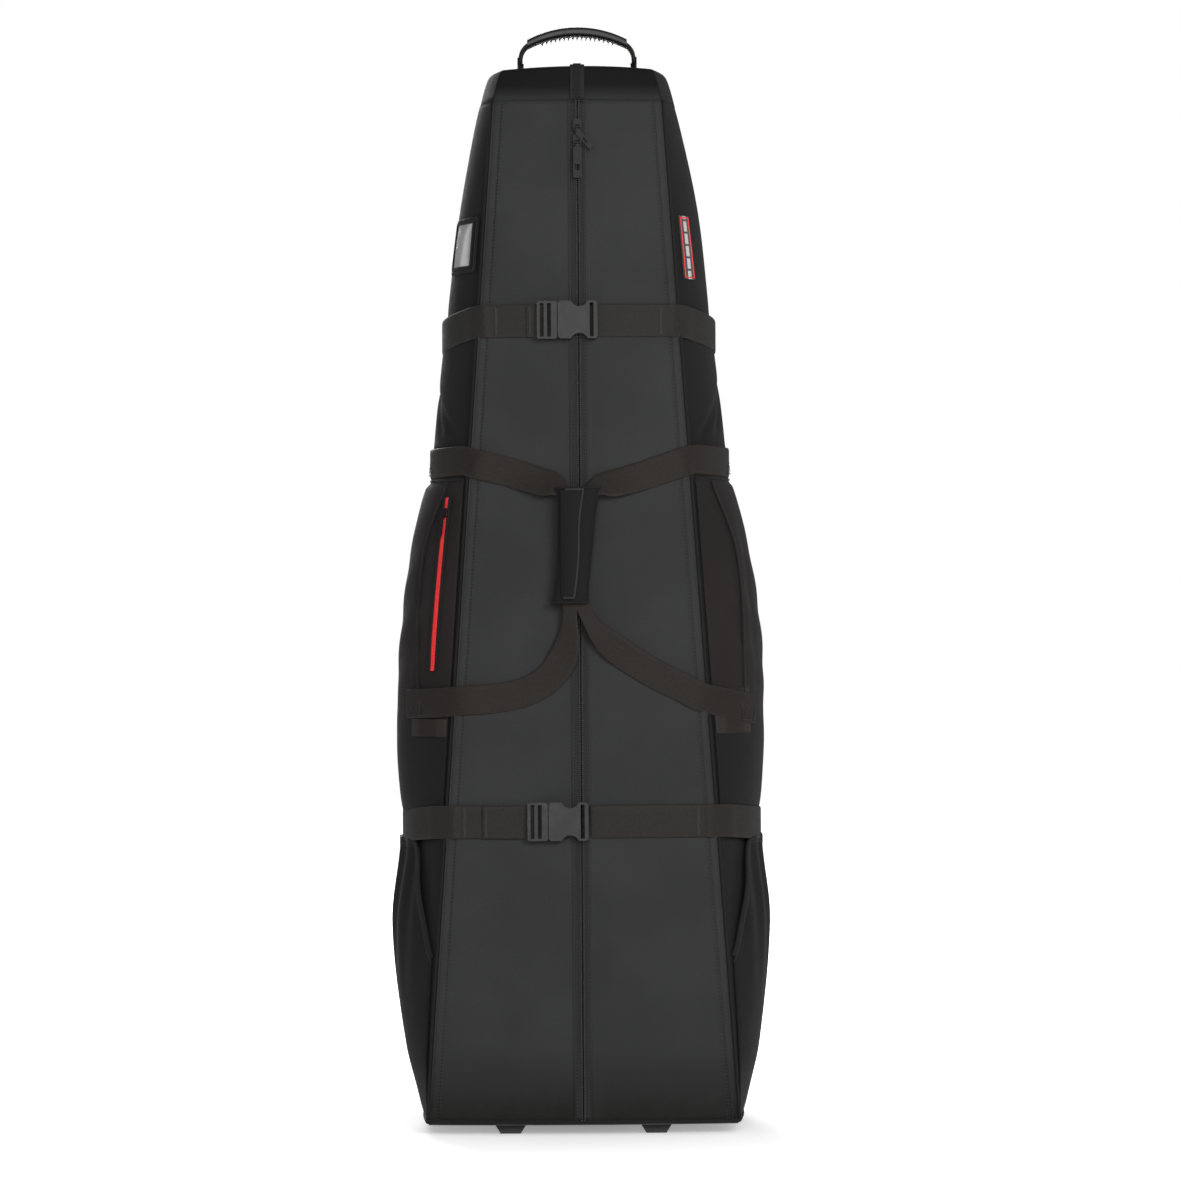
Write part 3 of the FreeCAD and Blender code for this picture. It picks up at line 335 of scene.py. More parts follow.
def resampled(curve, count):
    """Evenly spaced points along a fine polyline."""
    along = distances(curve[:, :3])
    at = np.linspace(0, along[-1], count)
    return np.stack([np.interp(at, along, curve[:, k]) for k in range(curve.shape[1])], 1)


def ribbon_parts(path, normal, width, thick, taper=None):
    """Webbing: a flat section with soft, slightly fuller edges carried along the path.

    Across the width u runs from -1 to 1; half thickness is t (1 + 0.12 u^6) (1 - u^20)."""
    tangent = unit(np.gradient(path, axis=0))
    normal = unit(normal - tangent * np.sum(normal * tangent, 1, keepdims=True))
    across = np.cross(tangent, normal)
    u = np.sin(np.linspace(-np.pi / 2, np.pi / 2, 11))
    lift = (1 + 0.12 * u ** 6) * (1 - u ** 20)
    u = np.concatenate([u, u[-2:0:-1]])
    lift = np.concatenate([lift, -lift[-2:0:-1]])
    scale = np.ones(len(path)) if taper is None else taper
    ring = (path[:, None] + across[:, None] * (u * width / 2)[None, :, None] * scale[:, None, None]
            + normal[:, None] * (lift * thick / 2)[None, :, None])
    return tube_from_rings(ring, u * width / 2)


def tube_from_rings(rings, around=None):
    """Closed tube from rings of points, with a point in the middle of each end."""
    count, size = rings.shape[:2]
    index = ring_index(count, size)
    faces = [quads(index)]
    vertices = np.concatenate([rings.reshape(-1, 3), rings[:1].mean(1), rings[-1:].mean(1)])
    ends = ((index[0], count * size, 1), (index[-1], count * size + 1, -1))
    for loop, centre, turn in ends:
        middle = np.full(size, centre)
        cap = np.stack([loop[1:], loop[:-1], middle, middle], -1)
        faces.append(cap if turn > 0 else cap[:, [1, 0, 2, 3]])
    along = distances(rings.mean(1))
    if around is None:
        around = np.linspace(0, np.linalg.norm(rings[0, 0] - rings[0, size // 2]) * 3.1, size)
    uv = np.stack(np.broadcast_arrays(around[None, :], along[:, None]), -1).reshape(-1, 2)
    uv = np.concatenate([uv, [[0, along[0]], [0, along[-1]]]])
    faces = np.concatenate(faces)
    return vertices, outward(vertices, faces), uv


def cord_parts(path, radius, sides=8):
    """Round piping: a circle carried along the path, its ends closed."""
    tangent = unit(np.gradient(path, axis=0))
    first = np.cross(tangent, [0.0, 0.3, 1.0])
    weak = np.linalg.norm(first, axis=1) < 0.15
    first[weak] = np.cross(tangent[weak], [1.0, 0.0, 0.0])
    first = unit(first)
    second = np.cross(tangent, first)
    angle = np.linspace(0, 2 * np.pi, sides, endpoint=False)
    rings = (path[:, None] + radius * (first[:, None] * np.cos(angle)[None, :, None]
                                       + second[:, None] * np.sin(angle)[None, :, None]))
    return tube_from_rings(rings)


def stamped(template, faces, origin, axes):
    """A small template repeated: vertex = origin + x X + y Y + z Z for every frame."""
    count, size = len(origin), len(template)
    points = origin[:, None] + np.einsum("vk,nkc->nvc", template, axes)
    all_faces = faces[None] + (np.arange(count) * size)[:, None, None]
    uv = np.tile(template[:, :2], (count, 1))
    return points.reshape(-1, 3), all_faces.reshape(-1, 4), uv


def bead(length, width, height):
    """Stitch: a lozenge of five rings of six points, pointed at both ends."""
    x = np.array([-0.5, -0.32, 0.0, 0.32, 0.5]) * length
    size = np.array([0.05, 0.8, 1.0, 0.8, 0.05])
    angle = np.linspace(0, 2 * np.pi, 6, endpoint=False)
    rings = np.stack([np.broadcast_to(x[:, None], (5, 6)),
                      size[:, None] * np.cos(angle) * width / 2,
                      size[:, None] * np.sin(angle) * height / 2], -1)
    vertices, faces, _ = tube_from_rings(rings)
    return vertices, faces


def stitch_parts(path, normal, pitch=0.0042, length=0.0031, width=0.0009):
    """Row of stitches laid end to end along a path on the cloth."""
    total = np.linalg.norm(np.diff(path, axis=0), axis=1).sum()
    count = max(int(total / pitch), 2)
    both = resampled(np.concatenate([path, normal], 1), count)
    place, normal = both[:, :3], unit(both[:, 3:])
    tangent = unit(np.gradient(place, axis=0))
    across = np.cross(normal, tangent)
    template, faces = bead(length, width, width)
    return stamped(template, faces, place, np.stack([tangent, across, normal], 1))


# --- shader node groups ---------------------------------------------------------------------
class Nodes:
    """Short names for adding and linking nodes in one tree."""

    def __init__(self, tree):
        self.tree = tree

    def add(self, kind, **settings):
        node = self.tree.nodes.new(kind)
        for key, value in settings.items():
            setattr(node, key, value)
        return node

    def put(self, node, **inputs):
        for key, value in inputs.items():
            socket = node.inputs[key.replace("_", " ")]
            self.feed(socket, value)
        return node

    def feed(self, socket, value):
        if isinstance(value, bpy.types.NodeSocket):
            self.tree.links.new(value, socket)
        else:
            socket.default_value = value

    def math(self, operation, a, b=0.0, clamp=False):
        node = self.add("ShaderNodeMath", operation=operation, use_clamp=clamp)
        self.feed(node.inputs[0], a)
        self.feed(node.inputs[1], b)
        return node.outputs[0]

    def mix(self, share, a, b):
        node = self.add("ShaderNodeMix", data_type="RGBA")
        self.feed(node.inputs[0], share)
        self.feed(node.inputs[6], a)
        self.feed(node.inputs[7], b)
        return node.outputs[2]

    def split(self, vector):
        node = self.add("ShaderNodeSeparateXYZ")
        self.feed(node.inputs[0], vector)
        return node.outputs

    def noise(self, vector, scale, detail=3.0, rough=0.55):
        node = self.add("ShaderNodeTexNoise")
        self.put(node, Vector=vector, Scale=scale, Detail=detail, Roughness=rough)
        return node.outputs[0]


def new_group(name, inputs, outputs):
    """Shader node group with float, vector or colour sockets."""
    kinds = {"f": "NodeSocketFloat", "v": "NodeSocketVector", "c": "NodeSocketColor"}
    group = bpy.data.node_groups.new(name, "ShaderNodeTree")
    for title, kind, value in inputs:
        socket = group.interface.new_socket(title, in_out="INPUT", socket_type=kinds[kind])
        if value is not None:
            socket.default_value = value
    for title, kind in outputs:
        group.interface.new_socket(title, in_out="OUTPUT", socket_type=kinds[kind])
    n = Nodes(group)
    return n, n.add("NodeGroupInput").outputs, n.add("NodeGroupOutput").inputs


def group_weave():
    """Plain weave: over-and-under threads from two crossed waves, with slub and lint."""
    n, given, out = new_group("plain_weave", [("Vector", "v", None), ("Threads", "f", 1200.0),
                                              ("Slub", "f", 0.35)],
                              [("Height", "f"), ("Shade", "f")])
    x, y, _ = n.split(given["Vector"])
    turn = n.math("MULTIPLY", given["Threads"], 3.14159)
    warp = n.math("SINE", n.math("MULTIPLY", x, turn))
    weft = n.math("SINE", n.math("MULTIPLY", y, turn))
    crossing = n.math("MULTIPLY", warp, weft)
    over = n.math("MULTIPLY_ADD", crossing, 0.5)
    over.node.inputs[2].default_value = 0.5
    slub = n.noise(given["Vector"], 420.0, 2.0)
    patchy = n.noise(given["Vector"], 9.0, 4.0)
    uneven = n.math("MULTIPLY", n.math("SUBTRACT", slub, 0.5), given["Slub"])
    n.feed(out["Height"], n.math("ADD", over, uneven))
    shade = n.math("ADD", n.math("MULTIPLY", over, 0.18), n.math("MULTIPLY", uneven, 1.2))
    n.feed(out["Shade"], n.math("ADD", shade, n.math("MULTIPLY", patchy, 0.35)))
    return n.tree


def group_ribs():
    """Webbing: herringbone ribs along the belt, deeper towards its woven edges."""
    n, given, out = new_group("webbing_ribs", [("Vector", "v", None), ("Ribs", "f", 620.0),
                                               ("Half Width", "f", 0.019)],
                              [("Height", "f"), ("Shade", "f"), ("Edge", "f")])
    x, y, _ = n.split(given["Vector"])
    zigzag = n.math("PINGPONG", x, 0.0035)
    along = n.math("ADD", y, zigzag)
    rib = n.math("SINE", n.math("MULTIPLY", n.math("MULTIPLY", along, given["Ribs"]), 3.14159))
    cross = n.math("SINE", n.math("MULTIPLY", x, 2600.0))
    lint = n.noise(given["Vector"], 300.0, 3.0)
    height = n.math("ADD", n.math("MULTIPLY", rib, 0.5), n.math("MULTIPLY", cross, 0.22))
    n.feed(out["Height"], height)
    n.feed(out["Shade"], n.math("ADD", n.math("MULTIPLY", height, 0.2),
                                n.math("MULTIPLY", lint, 0.6)))
    far = n.math("DIVIDE", n.math("ABSOLUTE", x), given["Half Width"])
    n.feed(out["Edge"], n.math("POWER", far, 12.0, clamp=True))
    return n.tree


def group_grain():
    """Moulded surface: fine spark-eroded grain, faint flow marks and rubbed patches."""
    n, given, out = new_group("moulded_grain", [("Vector", "v", None), ("Scale", "f", 900.0)],
                              [("Height", "f"), ("Rub", "f")])
    fine = n.noise(given["Vector"], given["Scale"], 4.0, 0.6)
    broad = n.noise(given["Vector"], 38.0, 4.0)
    n.feed(out["Height"], n.math("ADD", fine, n.math("MULTIPLY", broad, 0.4)))
    n.feed(out["Rub"], n.math("SUBTRACT", broad, 0.45, clamp=True))
    return n.tree


def group_dust():
    """Dust and scuffs that gather low on the case: noise faded out with height."""
    n, given, out = new_group("floor_dust", [("Vector", "v", None), ("Reach", "f", 0.09)],
                              [("Mask", "f")])
    _, _, z = n.split(given["Vector"])
    low = n.math("SUBTRACT", 1.0, n.math("DIVIDE", z, given["Reach"]), clamp=True)
    spots = n.noise(given["Vector"], 55.0, 5.0, 0.65)
    n.feed(out["Mask"], n.math("MULTIPLY", low, n.math("MULTIPLY", spots, 0.8), clamp=True))
    return n.tree


GROUPS = {}


def shared(name):
    """The node group of that name, built the first time it is wanted."""
    makers = {"weave": group_weave, "ribs": group_ribs, "grain": group_grain, "dust": group_dust}
    if name not in GROUPS:
        GROUPS[name] = makers[name]()
    return GROUPS[name]


def new_material(name, roughness, **plain):
    """Material with a Principled shader; plain values are set on the shader's own sockets."""
    material = bpy.data.materials.new(name)
    material.use_nodes = True
    n = Nodes(material.node_tree)
    shader = material.node_tree.nodes["Principled BSDF"]
    shader.inputs["Roughness"].default_value = roughness
    for key, value in plain.items():
        shader.inputs[key.replace("_", " ")].default_value = value
    return material, n, shader


def use_group(n, name, **inputs):
    node = n.add("ShaderNodeGroup", node_tree=shared(name))
    return n.put(node, **inputs).outputs


def bumped(n, shader, height, strength, distance):
    bump = n.add("ShaderNodeBump")
    n.put(bump, Height=height, Strength=strength, Distance=distance)
    n.feed(shader.inputs["Normal"], bump.outputs[0])


def rgba(colour):
    return (*colour, 1.0)


def shaded(colour, factor):
    return tuple(min(c * factor, 1.0) for c in colour) + (1.0,)


def tone_of(colour):
    """A colour as it is, or the setting of that name."""
    if isinstance(colour, str):
        return getattr(bpy.context.scene.case_tones, colour)
    return colour


def cloth_material(name, colour, threads=1150.0, roughness=0.82, sheen=0.03, dusty=False,
                   contrast=1.0, fade=0.0, foot=0.0, gloss=0.22, hem=None):
    """Coated polyester: woven relief and shade on the cloth's own coordinates.

    fade darkens the hood's front edge and foot the cloth over the base, both as painted shade, and
    hem is the tone that takes over below HEM_Z. dusty adds faded clouds and the dust that gathers
    low down."""
    colour = tone_of(colour)
    material, n, shader = new_material(name, roughness, Sheen_Weight=sheen, Sheen_Roughness=0.5,
                                       Specular_IOR_Level=gloss)
    spot = n.add("ShaderNodeTexCoord").outputs
    weave = use_group(n, "weave", Vector=spot["UV"], Threads=threads)
    tone = n.mix(weave["Shade"], shaded(colour, 1 - 0.28 * contrast),
                 shaded(colour, 1 + 0.75 * contrast))
    _, y, z = n.split(spot["Object"])
    # painted shade: the hood's front edge darkens towards its top, where the cloth curves back
    if fade:
        climb = n.math("DIVIDE", n.math("SUBTRACT", z, SHOULDER - 0.002), 0.019, True)
        near = n.math("DIVIDE", n.math("SUBTRACT", front_y(SHOULDER) + 0.034, y), 0.024, True)
        climb = n.math("MULTIPLY", n.math("MULTIPLY", climb, near), fade)
        tone = n.mix(climb, tone, shaded(colour, 0.2))
    # painted shade: the cloth darkens towards the base, where it turns in under the case
    if foot:
        climb = n.math("DIVIDE", n.math("SUBTRACT", z, 0.100), -0.070, True)
        tone = n.mix(n.math("MULTIPLY", climb, foot), tone, shaded(colour, 0.2))
    if hem:
        hem = tone_of(hem)
        climb = n.math("DIVIDE", n.math("SUBTRACT", HEM_Z, z), 0.012, True)
        tone = n.mix(climb, tone, n.mix(weave["Shade"], shaded(hem, 0.72), shaded(hem, 1.75)))
    if dusty:
        cloud = n.math("SUBTRACT", n.noise(spot["Object"], 8.0, 2.0), 0.4)
        cloud = n.math("DIVIDE", cloud, 0.2, True)
        tone = n.mix(n.math("MULTIPLY", cloud, 0.24), tone, shaded(colour, 0.35))
        dust = use_group(n, "dust", Vector=spot["Object"])
        tone = n.mix(n.math("MULTIPLY", dust["Mask"], 0.10), tone, (0.16, 0.145, 0.125, 1))
    n.feed(shader.inputs["Base Color"], tone)
    rough = n.math("ADD", n.math("MULTIPLY", weave["Shade"], 0.22), roughness - 0.1)
    n.feed(shader.inputs["Roughness"], rough)
    bumped(n, shader, weave["Height"], 0.35, 0.00022)
    return material


def webbing_material(name, colour, half_width):
    """Polypropylene belt: herringbone ribs, fuzzy shade and slightly rubbed edges."""
    colour = tone_of(colour)
    material, n, shader = new_material(name, 0.7, Sheen_Weight=0.02, Sheen_Roughness=0.45,
                                       Specular_IOR_Level=0.12)
    spot = n.add("ShaderNodeTexCoord").outputs
    ribs = use_group(n, "ribs", Vector=spot["UV"], Half_Width=half_width)
    tone = n.mix(ribs["Shade"], shaded(colour, 0.65), shaded(colour, 1.7))
    tone = n.mix(n.math("MULTIPLY", ribs["Edge"], 0.35), tone, shaded(colour, 2.2))
    n.feed(shader.inputs["Base Color"], tone)
    n.feed(shader.inputs["Roughness"], n.math("ADD", n.math("MULTIPLY", ribs["Shade"], 0.3), 0.55))
    bumped(n, shader, ribs["Height"], 0.5, 0.0004)
    return material


def moulded_material(name, colour, roughness, grain=900.0, strength=0.12, **plain):
    """Moulded plastic or rubber: fine grain, rubbed lighter and smoother in patches."""
    colour = tone_of(colour)
    material, n, shader = new_material(name, roughness, **plain)
    spot = n.add("ShaderNodeTexCoord").outputs
    grains = use_group(n, "grain", Vector=spot["Object"], Scale=grain)
    n.feed(shader.inputs["Base Color"], n.mix(grains["Rub"], rgba(colour), shaded(colour, 1.7)))
    n.feed(shader.inputs["Roughness"], n.math("SUBTRACT", roughness + 0.03,
                                              n.math("MULTIPLY", grains["Rub"], 0.25)))
    bumped(n, shader, grains["Height"], strength, 0.0002)
    return material


def metal_material(name, colour, roughness, metallic=1.0, rub=1.5):
    """Plated metal: brushed noise in the roughness and worn brighter spots."""
    material, n, shader = new_material(name, roughness, Metallic=metallic, Specular_IOR_Level=0.16)
    spot = n.add("ShaderNodeTexCoord").outputs
    grains = use_group(n, "grain", Vector=spot["Object"], Scale=1600.0)
    n.feed(shader.inputs["Base Color"], n.mix(grains["Rub"], rgba(colour), shaded(colour, rub)))
    n.feed(shader.inputs["Roughness"], n.math("ADD", n.math("MULTIPLY", grains["Height"], 0.12),
                                              roughness - 0.06))
    bumped(n, shader, grains["Height"], 0.05, 0.0001)
    return material


def vinyl_material(name, colour):
    """Frosted clear vinyl over a blank card: milky, glossy, with faint ripples."""
    colour = tone_of(colour)
    material, n, shader = new_material(name, 0.22, Coat_Weight=0.6, Coat_Roughness=0.08)
    spot = n.add("ShaderNodeTexCoord").outputs
    ripple = n.noise(spot["Object"], 34.0, 3.0)
    haze = n.noise(spot["Object"], 130.0, 4.0)
    n.feed(shader.inputs["Base Color"], n.mix(ripple, shaded(colour, 0.72), shaded(colour, 1.25)))
    n.feed(shader.inputs["Roughness"], n.math("ADD", n.math("MULTIPLY", haze, 0.2), 0.12))
    bumped(n, shader, ripple, 0.35, 0.002)
    return material


def badge_material(name, colour):
    """Woven badge: black ground with plain light bars down its middle, inside a border."""
    material, n, shader = new_material(name, 0.7, Sheen_Weight=0.2)
    spot = n.add("ShaderNodeTexCoord").outputs
    x, y, _ = n.split(spot["UV"])
    bars = n.math("SINE", n.math("MULTIPLY", y, 430.0))
    bar = n.math("GREATER_THAN", bars, -0.86)
    near = n.math("LESS_THAN", n.math("ABSOLUTE", x), 0.0042)
    weave = use_group(n, "weave", Vector=spot["UV"], Threads=2400.0)
    ground = n.mix(weave["Shade"], (0.012, 0.012, 0.013, 1), (0.035, 0.035, 0.037, 1))
    light = n.mix(weave["Shade"], rgba(colour), (0.75, 0.75, 0.75, 1))
    tone = n.mix(n.math("MULTIPLY", bar, near), ground, light)
    n.feed(shader.inputs["Base Color"], tone)
    bumped(n, shader, weave["Height"], 0.4, 0.0002)
    return material


MATERIALS = {}
FINISHES = {    # name: maker, tone or colour, and whatever else the maker is told
    # front_cloth: painted shade towards the base
    "front_cloth": (cloth_material, "front", dict(dusty=True, foot=1.0)),
    # hood_cloth: painted shade on the hood's front edge
    "hood_cloth": (cloth_material, "front", dict(fade=1.0, gloss=0.12)),
    "side_cloth": (cloth_material, "side", dict(dusty=True, gloss=0.07)),
    "pocket_cloth": (cloth_material, "pocket", dict(dusty=True, gloss=0.10, hem="side")),
    "lining_cloth": (cloth_material, "lining", dict(threads=1700.0, roughness=0.7)),
    "wrap_cloth": (cloth_material, "wrap", dict(threads=900.0, gloss=0.12)),
    # edging: lighter cloth that paints a highlight on the wrap flap's edge
    "edging": (cloth_material, "edging", dict(threads=1500.0)),
    "binding": (cloth_material, "binding", dict(threads=1500.0, roughness=0.78, gloss=0.12)),
    "zip_tape": (cloth_material, "binding", dict(threads=2200.0, roughness=0.75)),
    "red_tape": (cloth_material, "red", dict(threads=2200.0, roughness=0.42, sheen=0.05,
                                             contrast=0.5)),
    "webbing": (webbing_material, "webbing", dict(half_width=WEB_WIDTH / 2)),
    "carry_webbing": (webbing_material, "carry", dict(half_width=CARRY_WIDTH / 2)),
    "thread": (moulded_material, "thread", dict(roughness=0.6)),
    "red_thread": (moulded_material, "red", dict(roughness=0.55, grain=2000.0, strength=0.3)),
    "zip_coil": (moulded_material, (0.022, 0.022, 0.024), dict(roughness=0.38, grain=2200.0,
                                                               strength=0.05)),
    "buckle": (moulded_material, (0.0058, 0.0059, 0.0063),
               dict(roughness=0.33, grain=1400.0, strength=0.08, Specular_IOR_Level=0.17)),
    "grip": (moulded_material, (0.0085, 0.0085, 0.009),
             dict(roughness=0.4, grain=1100.0, strength=0.1, Specular_IOR_Level=0.3)),
    "housing": (moulded_material, (0.012, 0.012, 0.0125), dict(roughness=0.55, grain=700.0,
                                                               strength=0.3)),
    "tyre": (moulded_material, (0.020, 0.020, 0.021), dict(roughness=0.5, grain=500.0,
                                                           strength=0.2)),
    "hub": (moulded_material, (0.055, 0.056, 0.058), dict(roughness=0.45)),
    "board": (moulded_material, (0.035, 0.035, 0.036), dict(roughness=0.55, grain=300.0,
                                                            strength=0.4)),
    "steel": (metal_material, (0.56, 0.57, 0.58), dict(roughness=0.32)),
    "black_metal": (metal_material, (0.0070, 0.0072, 0.0078), dict(roughness=0.44, metallic=0.1,
                                                                   rub=2.0)),
    "vinyl": (vinyl_material, "window", {}),
    "badge": (badge_material, (0.42, 0.42, 0.42), {}),
}


def finish_of(name):
    """The finish of that name, made the first time it is wanted."""
    if name not in MATERIALS:
        maker, colour, more = FINISHES[name]
        MATERIALS[name] = maker(name, colour, **more)
    return MATERIALS[name]


def dress(piece, finish):
    """Give a piece that finish alone."""
    piece.data.materials.clear()
    piece.data.materials.append(finish_of(finish))


def fasten(piece, slot, body, *nodes):
    """Attach a piece to the body it rides on and hide the frame's nodes it stands for; slot is not
    used.
    """
    if nodes:
        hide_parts(*nodes)
    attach(piece, body)


def fit(piece, finish, *where):
    """Finish a piece and fasten it."""
    dress(piece, finish)
    fasten(piece, *where)


def dress_node(finish, *nodes):
    """Put a finish in every material slot of the frame's own pieces."""
    for name in nodes:
        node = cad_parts[name]
        for held in node.material_slots:
            held.material = finish_of(finish)


def two_tone(piece, outside, inside, faces_outside):
    """Second material on the lining side; the first faces_outside faces keep the first."""
    dress(piece, outside)
    piece.data.materials.append(finish_of(inside))
    index = np.zeros(len(piece.data.polygons), int)
    index[faces_outside:2 * faces_outside] = 1
    piece.data.polygons.foreach_set("material_index", index)


def thickened(piece, thickness):
    """Solidify modifier that gives a surface its wall, inwards."""
    solid = piece.modifiers.new("thickness", "SOLIDIFY")
    solid.thickness = thickness
    solid.offset = -1
    return solid


# --- settings -----------------------------------------------------------------------------
def length(name, text, default):
    return FloatProperty(name=name, description=text, default=default, min=0.0, unit="LENGTH",
                         precision=4)


def tone(name, text, default):
    return FloatVectorProperty(name=name, description=text, default=default, subtype="COLOR",
                               size=3, min=0.0, max=1.0)


class CaseSizes(bpy.types.PropertyGroup):
    billow: length("Billow", "How far the cloth swells between straps", 0.0022)
    pinch: length("Pinch", "How far a tight strap presses the cloth in", 0.0016)
    unevenness: length("Unevenness", "Slow waves in the stretched cloth", 0.0009)
    piping: length("Piping", "Radius of the corded seam edging", 0.0019)
    stitch: length("Stitch Pitch", "Spacing of the stitches", 0.0042)
    tooth: length("Coil Pitch", "Spacing of the zipper coil's turns", 0.0022)
    crease: length("Crease", "Depth of the folds beside the carry straps", 0.0035)


class CaseTones(bpy.types.PropertyGroup):
    front: tone("Front", "Cloth of the front and the hood", (0.0228, 0.0231, 0.0239))
    wrap: tone("Wrap", "Cloth of the carry wrap", (0.0075, 0.0075, 0.0079))
    side: tone("Side", "Cloth of the sides, back and base", (0.0110, 0.0108, 0.0112))
    pocket: tone("Pocket", "Cloth of the shoe pockets", (0.0175, 0.0140, 0.0140))
    lining: tone("Lining", "Inner lining", (0.070, 0.072, 0.077))
    binding: tone("Binding", "Seam binding and zipper tape", (0.0105, 0.0105, 0.0110))
    # painted highlight on the wrap flap's edge
    edging: tone("Edging", "Lighter edge of the wrap's flap", (0.020, 0.020, 0.0205))
    thread: tone("Thread", "Sewing thread", (0.0165, 0.0165, 0.0170))
    webbing: tone("Webbing", "Compression straps", (0.0205, 0.0190, 0.0178))
    carry: tone("Carry Webbing", "Carry straps", (0.0190, 0.0157, 0.0141))
    red: tone("Red", "Pocket zipper and badge border", (0.78, 0.030, 0.034))
    window: tone("Window", "Card behind the vinyl", (0.33, 0.33, 0.335))


class CaseView(bpy.types.PropertyGroup):
    distance: length("Distance", "Camera distance from the front", 6.0)
    width: length("Width", "Width of view at the front", 1.364)
    roll: FloatProperty(name="Roll", description="Camera roll", default=math.radians(0.37),
                        subtype="ANGLE")
    grid: IntProperty(name="Detail", description="Rows of the large panels", default=220, min=40)


# --- shell --------------------------------------------------------------------------------
def strap_relief(z, sizes):
    """Cloth off its taut line: in under each strap, out midway between them."""
    pinched = bell(z, STRAP_Z["top"], 0.020) + bell(z, STRAP_Z["lower"], 0.021)
    spans = ((0.379, 0.918, 1.0), (0.06, 0.339, 0.8), (0.958, 1.17, 0.7))
    billow = 0
    for low, high, much in spans:
        inside = np.clip((z - low) / (high - low), 0, 1)
        billow = billow + much * np.sin(np.pi * inside) ** 2
    return sizes.billow * billow - sizes.pinch * pinched


def front_relief(x, z, sizes):
    """Front cloth: strap relief, slow waves, radial puckers at the seam, tucked ends."""
    share = np.abs(x) / seam_x(z)
    edge = 1 - np.clip(share, 0, 1) ** 6
    relief = strap_relief(z, sizes) * edge
    relief = relief + sizes.unevenness * wander(x, z, 11) * edge
    pucker = np.sin(2 * np.pi * z / 0.021 + 2 * np.sin(z * 31)) * bell(share, 0.9, 0.07)
    relief = relief + 0.00030 * pucker
    inset = seam_x(z) - np.abs(x)
    relief = relief - 0.0013 * bell(inset, 0.0098, 0.0011) - 0.0009 * bell(inset, 0.0016, 0.0011)
    foot = 1 - np.clip((z - BASE_Z) / 0.080, 0, 1)
    return relief - 0.0085 * foot ** 2.2


class CASE_OT_front(bpy.types.Operator):
    """The two zipped flaps: crowned padded cloth, lined inside, with the zipper between."""
    bl_idname = "case.front"
    bl_label = "Front Flaps"

    def execute(self, context):
        sizes = context.scene.case_sizes
        rows, columns = context.scene.case_view.grid, 84
        z = np.linspace(PANEL_LOW - TUCK, SHOULDER - 0.0005, rows)[:, None]
        for name, side in SIDES:
            near = np.linspace(0.0003, 0.0124, 16)[None, :]
            share = np.sin(np.linspace(0.02, np.pi / 2, columns))[None, :]
            x = 0.0124 + (seam_x(z) - 0.0126) * share
            x = np.concatenate([np.broadcast_to(near, (rows, 16)), x], 1)
            lift = front_relief(x * side, z, sizes)
            lip = bell(x, 0.0092, 0.0017) * 0.0018
            lift = lift * ease(x, 0.008, 0.034) + lip - 0.0002
            outer = front_point(z, x, lift)
            inner = front_point(z, x, np.minimum(lift - 0.0032, 0.0004 * wander(x, z, 5) - WALL))
            vertices, faces, uv = sheet_parts(mirrored(outer, side), mirrored(inner, side))
            flap = make_object(name + "_front_flap", vertices, faces, uv)
            # front_cloth darkens towards the base with painted shade
            two_tone(flap, "front_cloth", "lining_cloth", (rows - 1) * (x.shape[1] - 1))
            fasten(flap, "front_fabric", name + "_door", name + "_front_panel")
        return {"FINISHED"}


def seam_line(side, rows, out, back):
    """Points down the straight front seam, moved out along the front and back by depth."""
    z = np.linspace(BASE_Z + 0.003, SHOULDER, rows)
    return np.stack([side * (seam_x(z) + out), front_y(z) + back, z], 1)


class CASE_OT_sides(bpy.types.Operator):
    """Bellied side panels with soft folds, lined inside."""
    bl_idname = "case.sides"
    bl_label = "Side Panels"

    def execute(self, context):
        sizes = context.scene.case_sizes
        rows, columns = context.scene.case_view.grid, 80
        z = np.linspace(PANEL_LOW - TUCK, SHOULDER, rows)[:, None]
        share = np.linspace(0, 1, columns)[None, :]
        for name, side in SIDES:
            edge = np.sin(np.pi * share) ** 0.5
            relief = (strap_relief(z, sizes) * 0.8 + sizes.unevenness * 1.6
                      * wander(share * 0.35, z, 21 + side)) * edge
            relief = relief - self.creases(z, share, sizes, side)
            hidden = ease(z, 0.03, 0.06) * (1 - ease(z, 0.735, 0.76))
            relief = relief * (1 - 0.9 * hidden)
            outer = mirrored(side_point(z, share, relief), side)
            inner = mirrored(side_point(z, share, -WALL), side)
            panel = sheet(name + "_side_cloth", outer, inner)
            two_tone(panel, "side_cloth", "lining_cloth", (rows - 1) * (columns - 1))
            fasten(panel, "side_fabric", "shell", name + "_side_panel")
        return {"FINISHED"}

    def creases(self, z, share, sizes, side):
        """Slanting folds that run up from each upper carry anchor towards the strap."""
        folds = 0
        for lean, start, low in ((5.2, 0.10, 0.803), (3.6, 0.28, 0.812), (2.4, 0.50, 0.806)):
            line = start + lean * (z - low) * (1.0 if side > 0 else 1.15)
            width = 0.030 + 0.15 * np.clip(z - low, 0, 1)
            fade = ease(z, low - 0.012, low + 0.012) * (1 - ease(z, low + 0.025, low + 0.085))
            folds = folds + bell(share, line, width) * fade
        return sizes.crease * folds


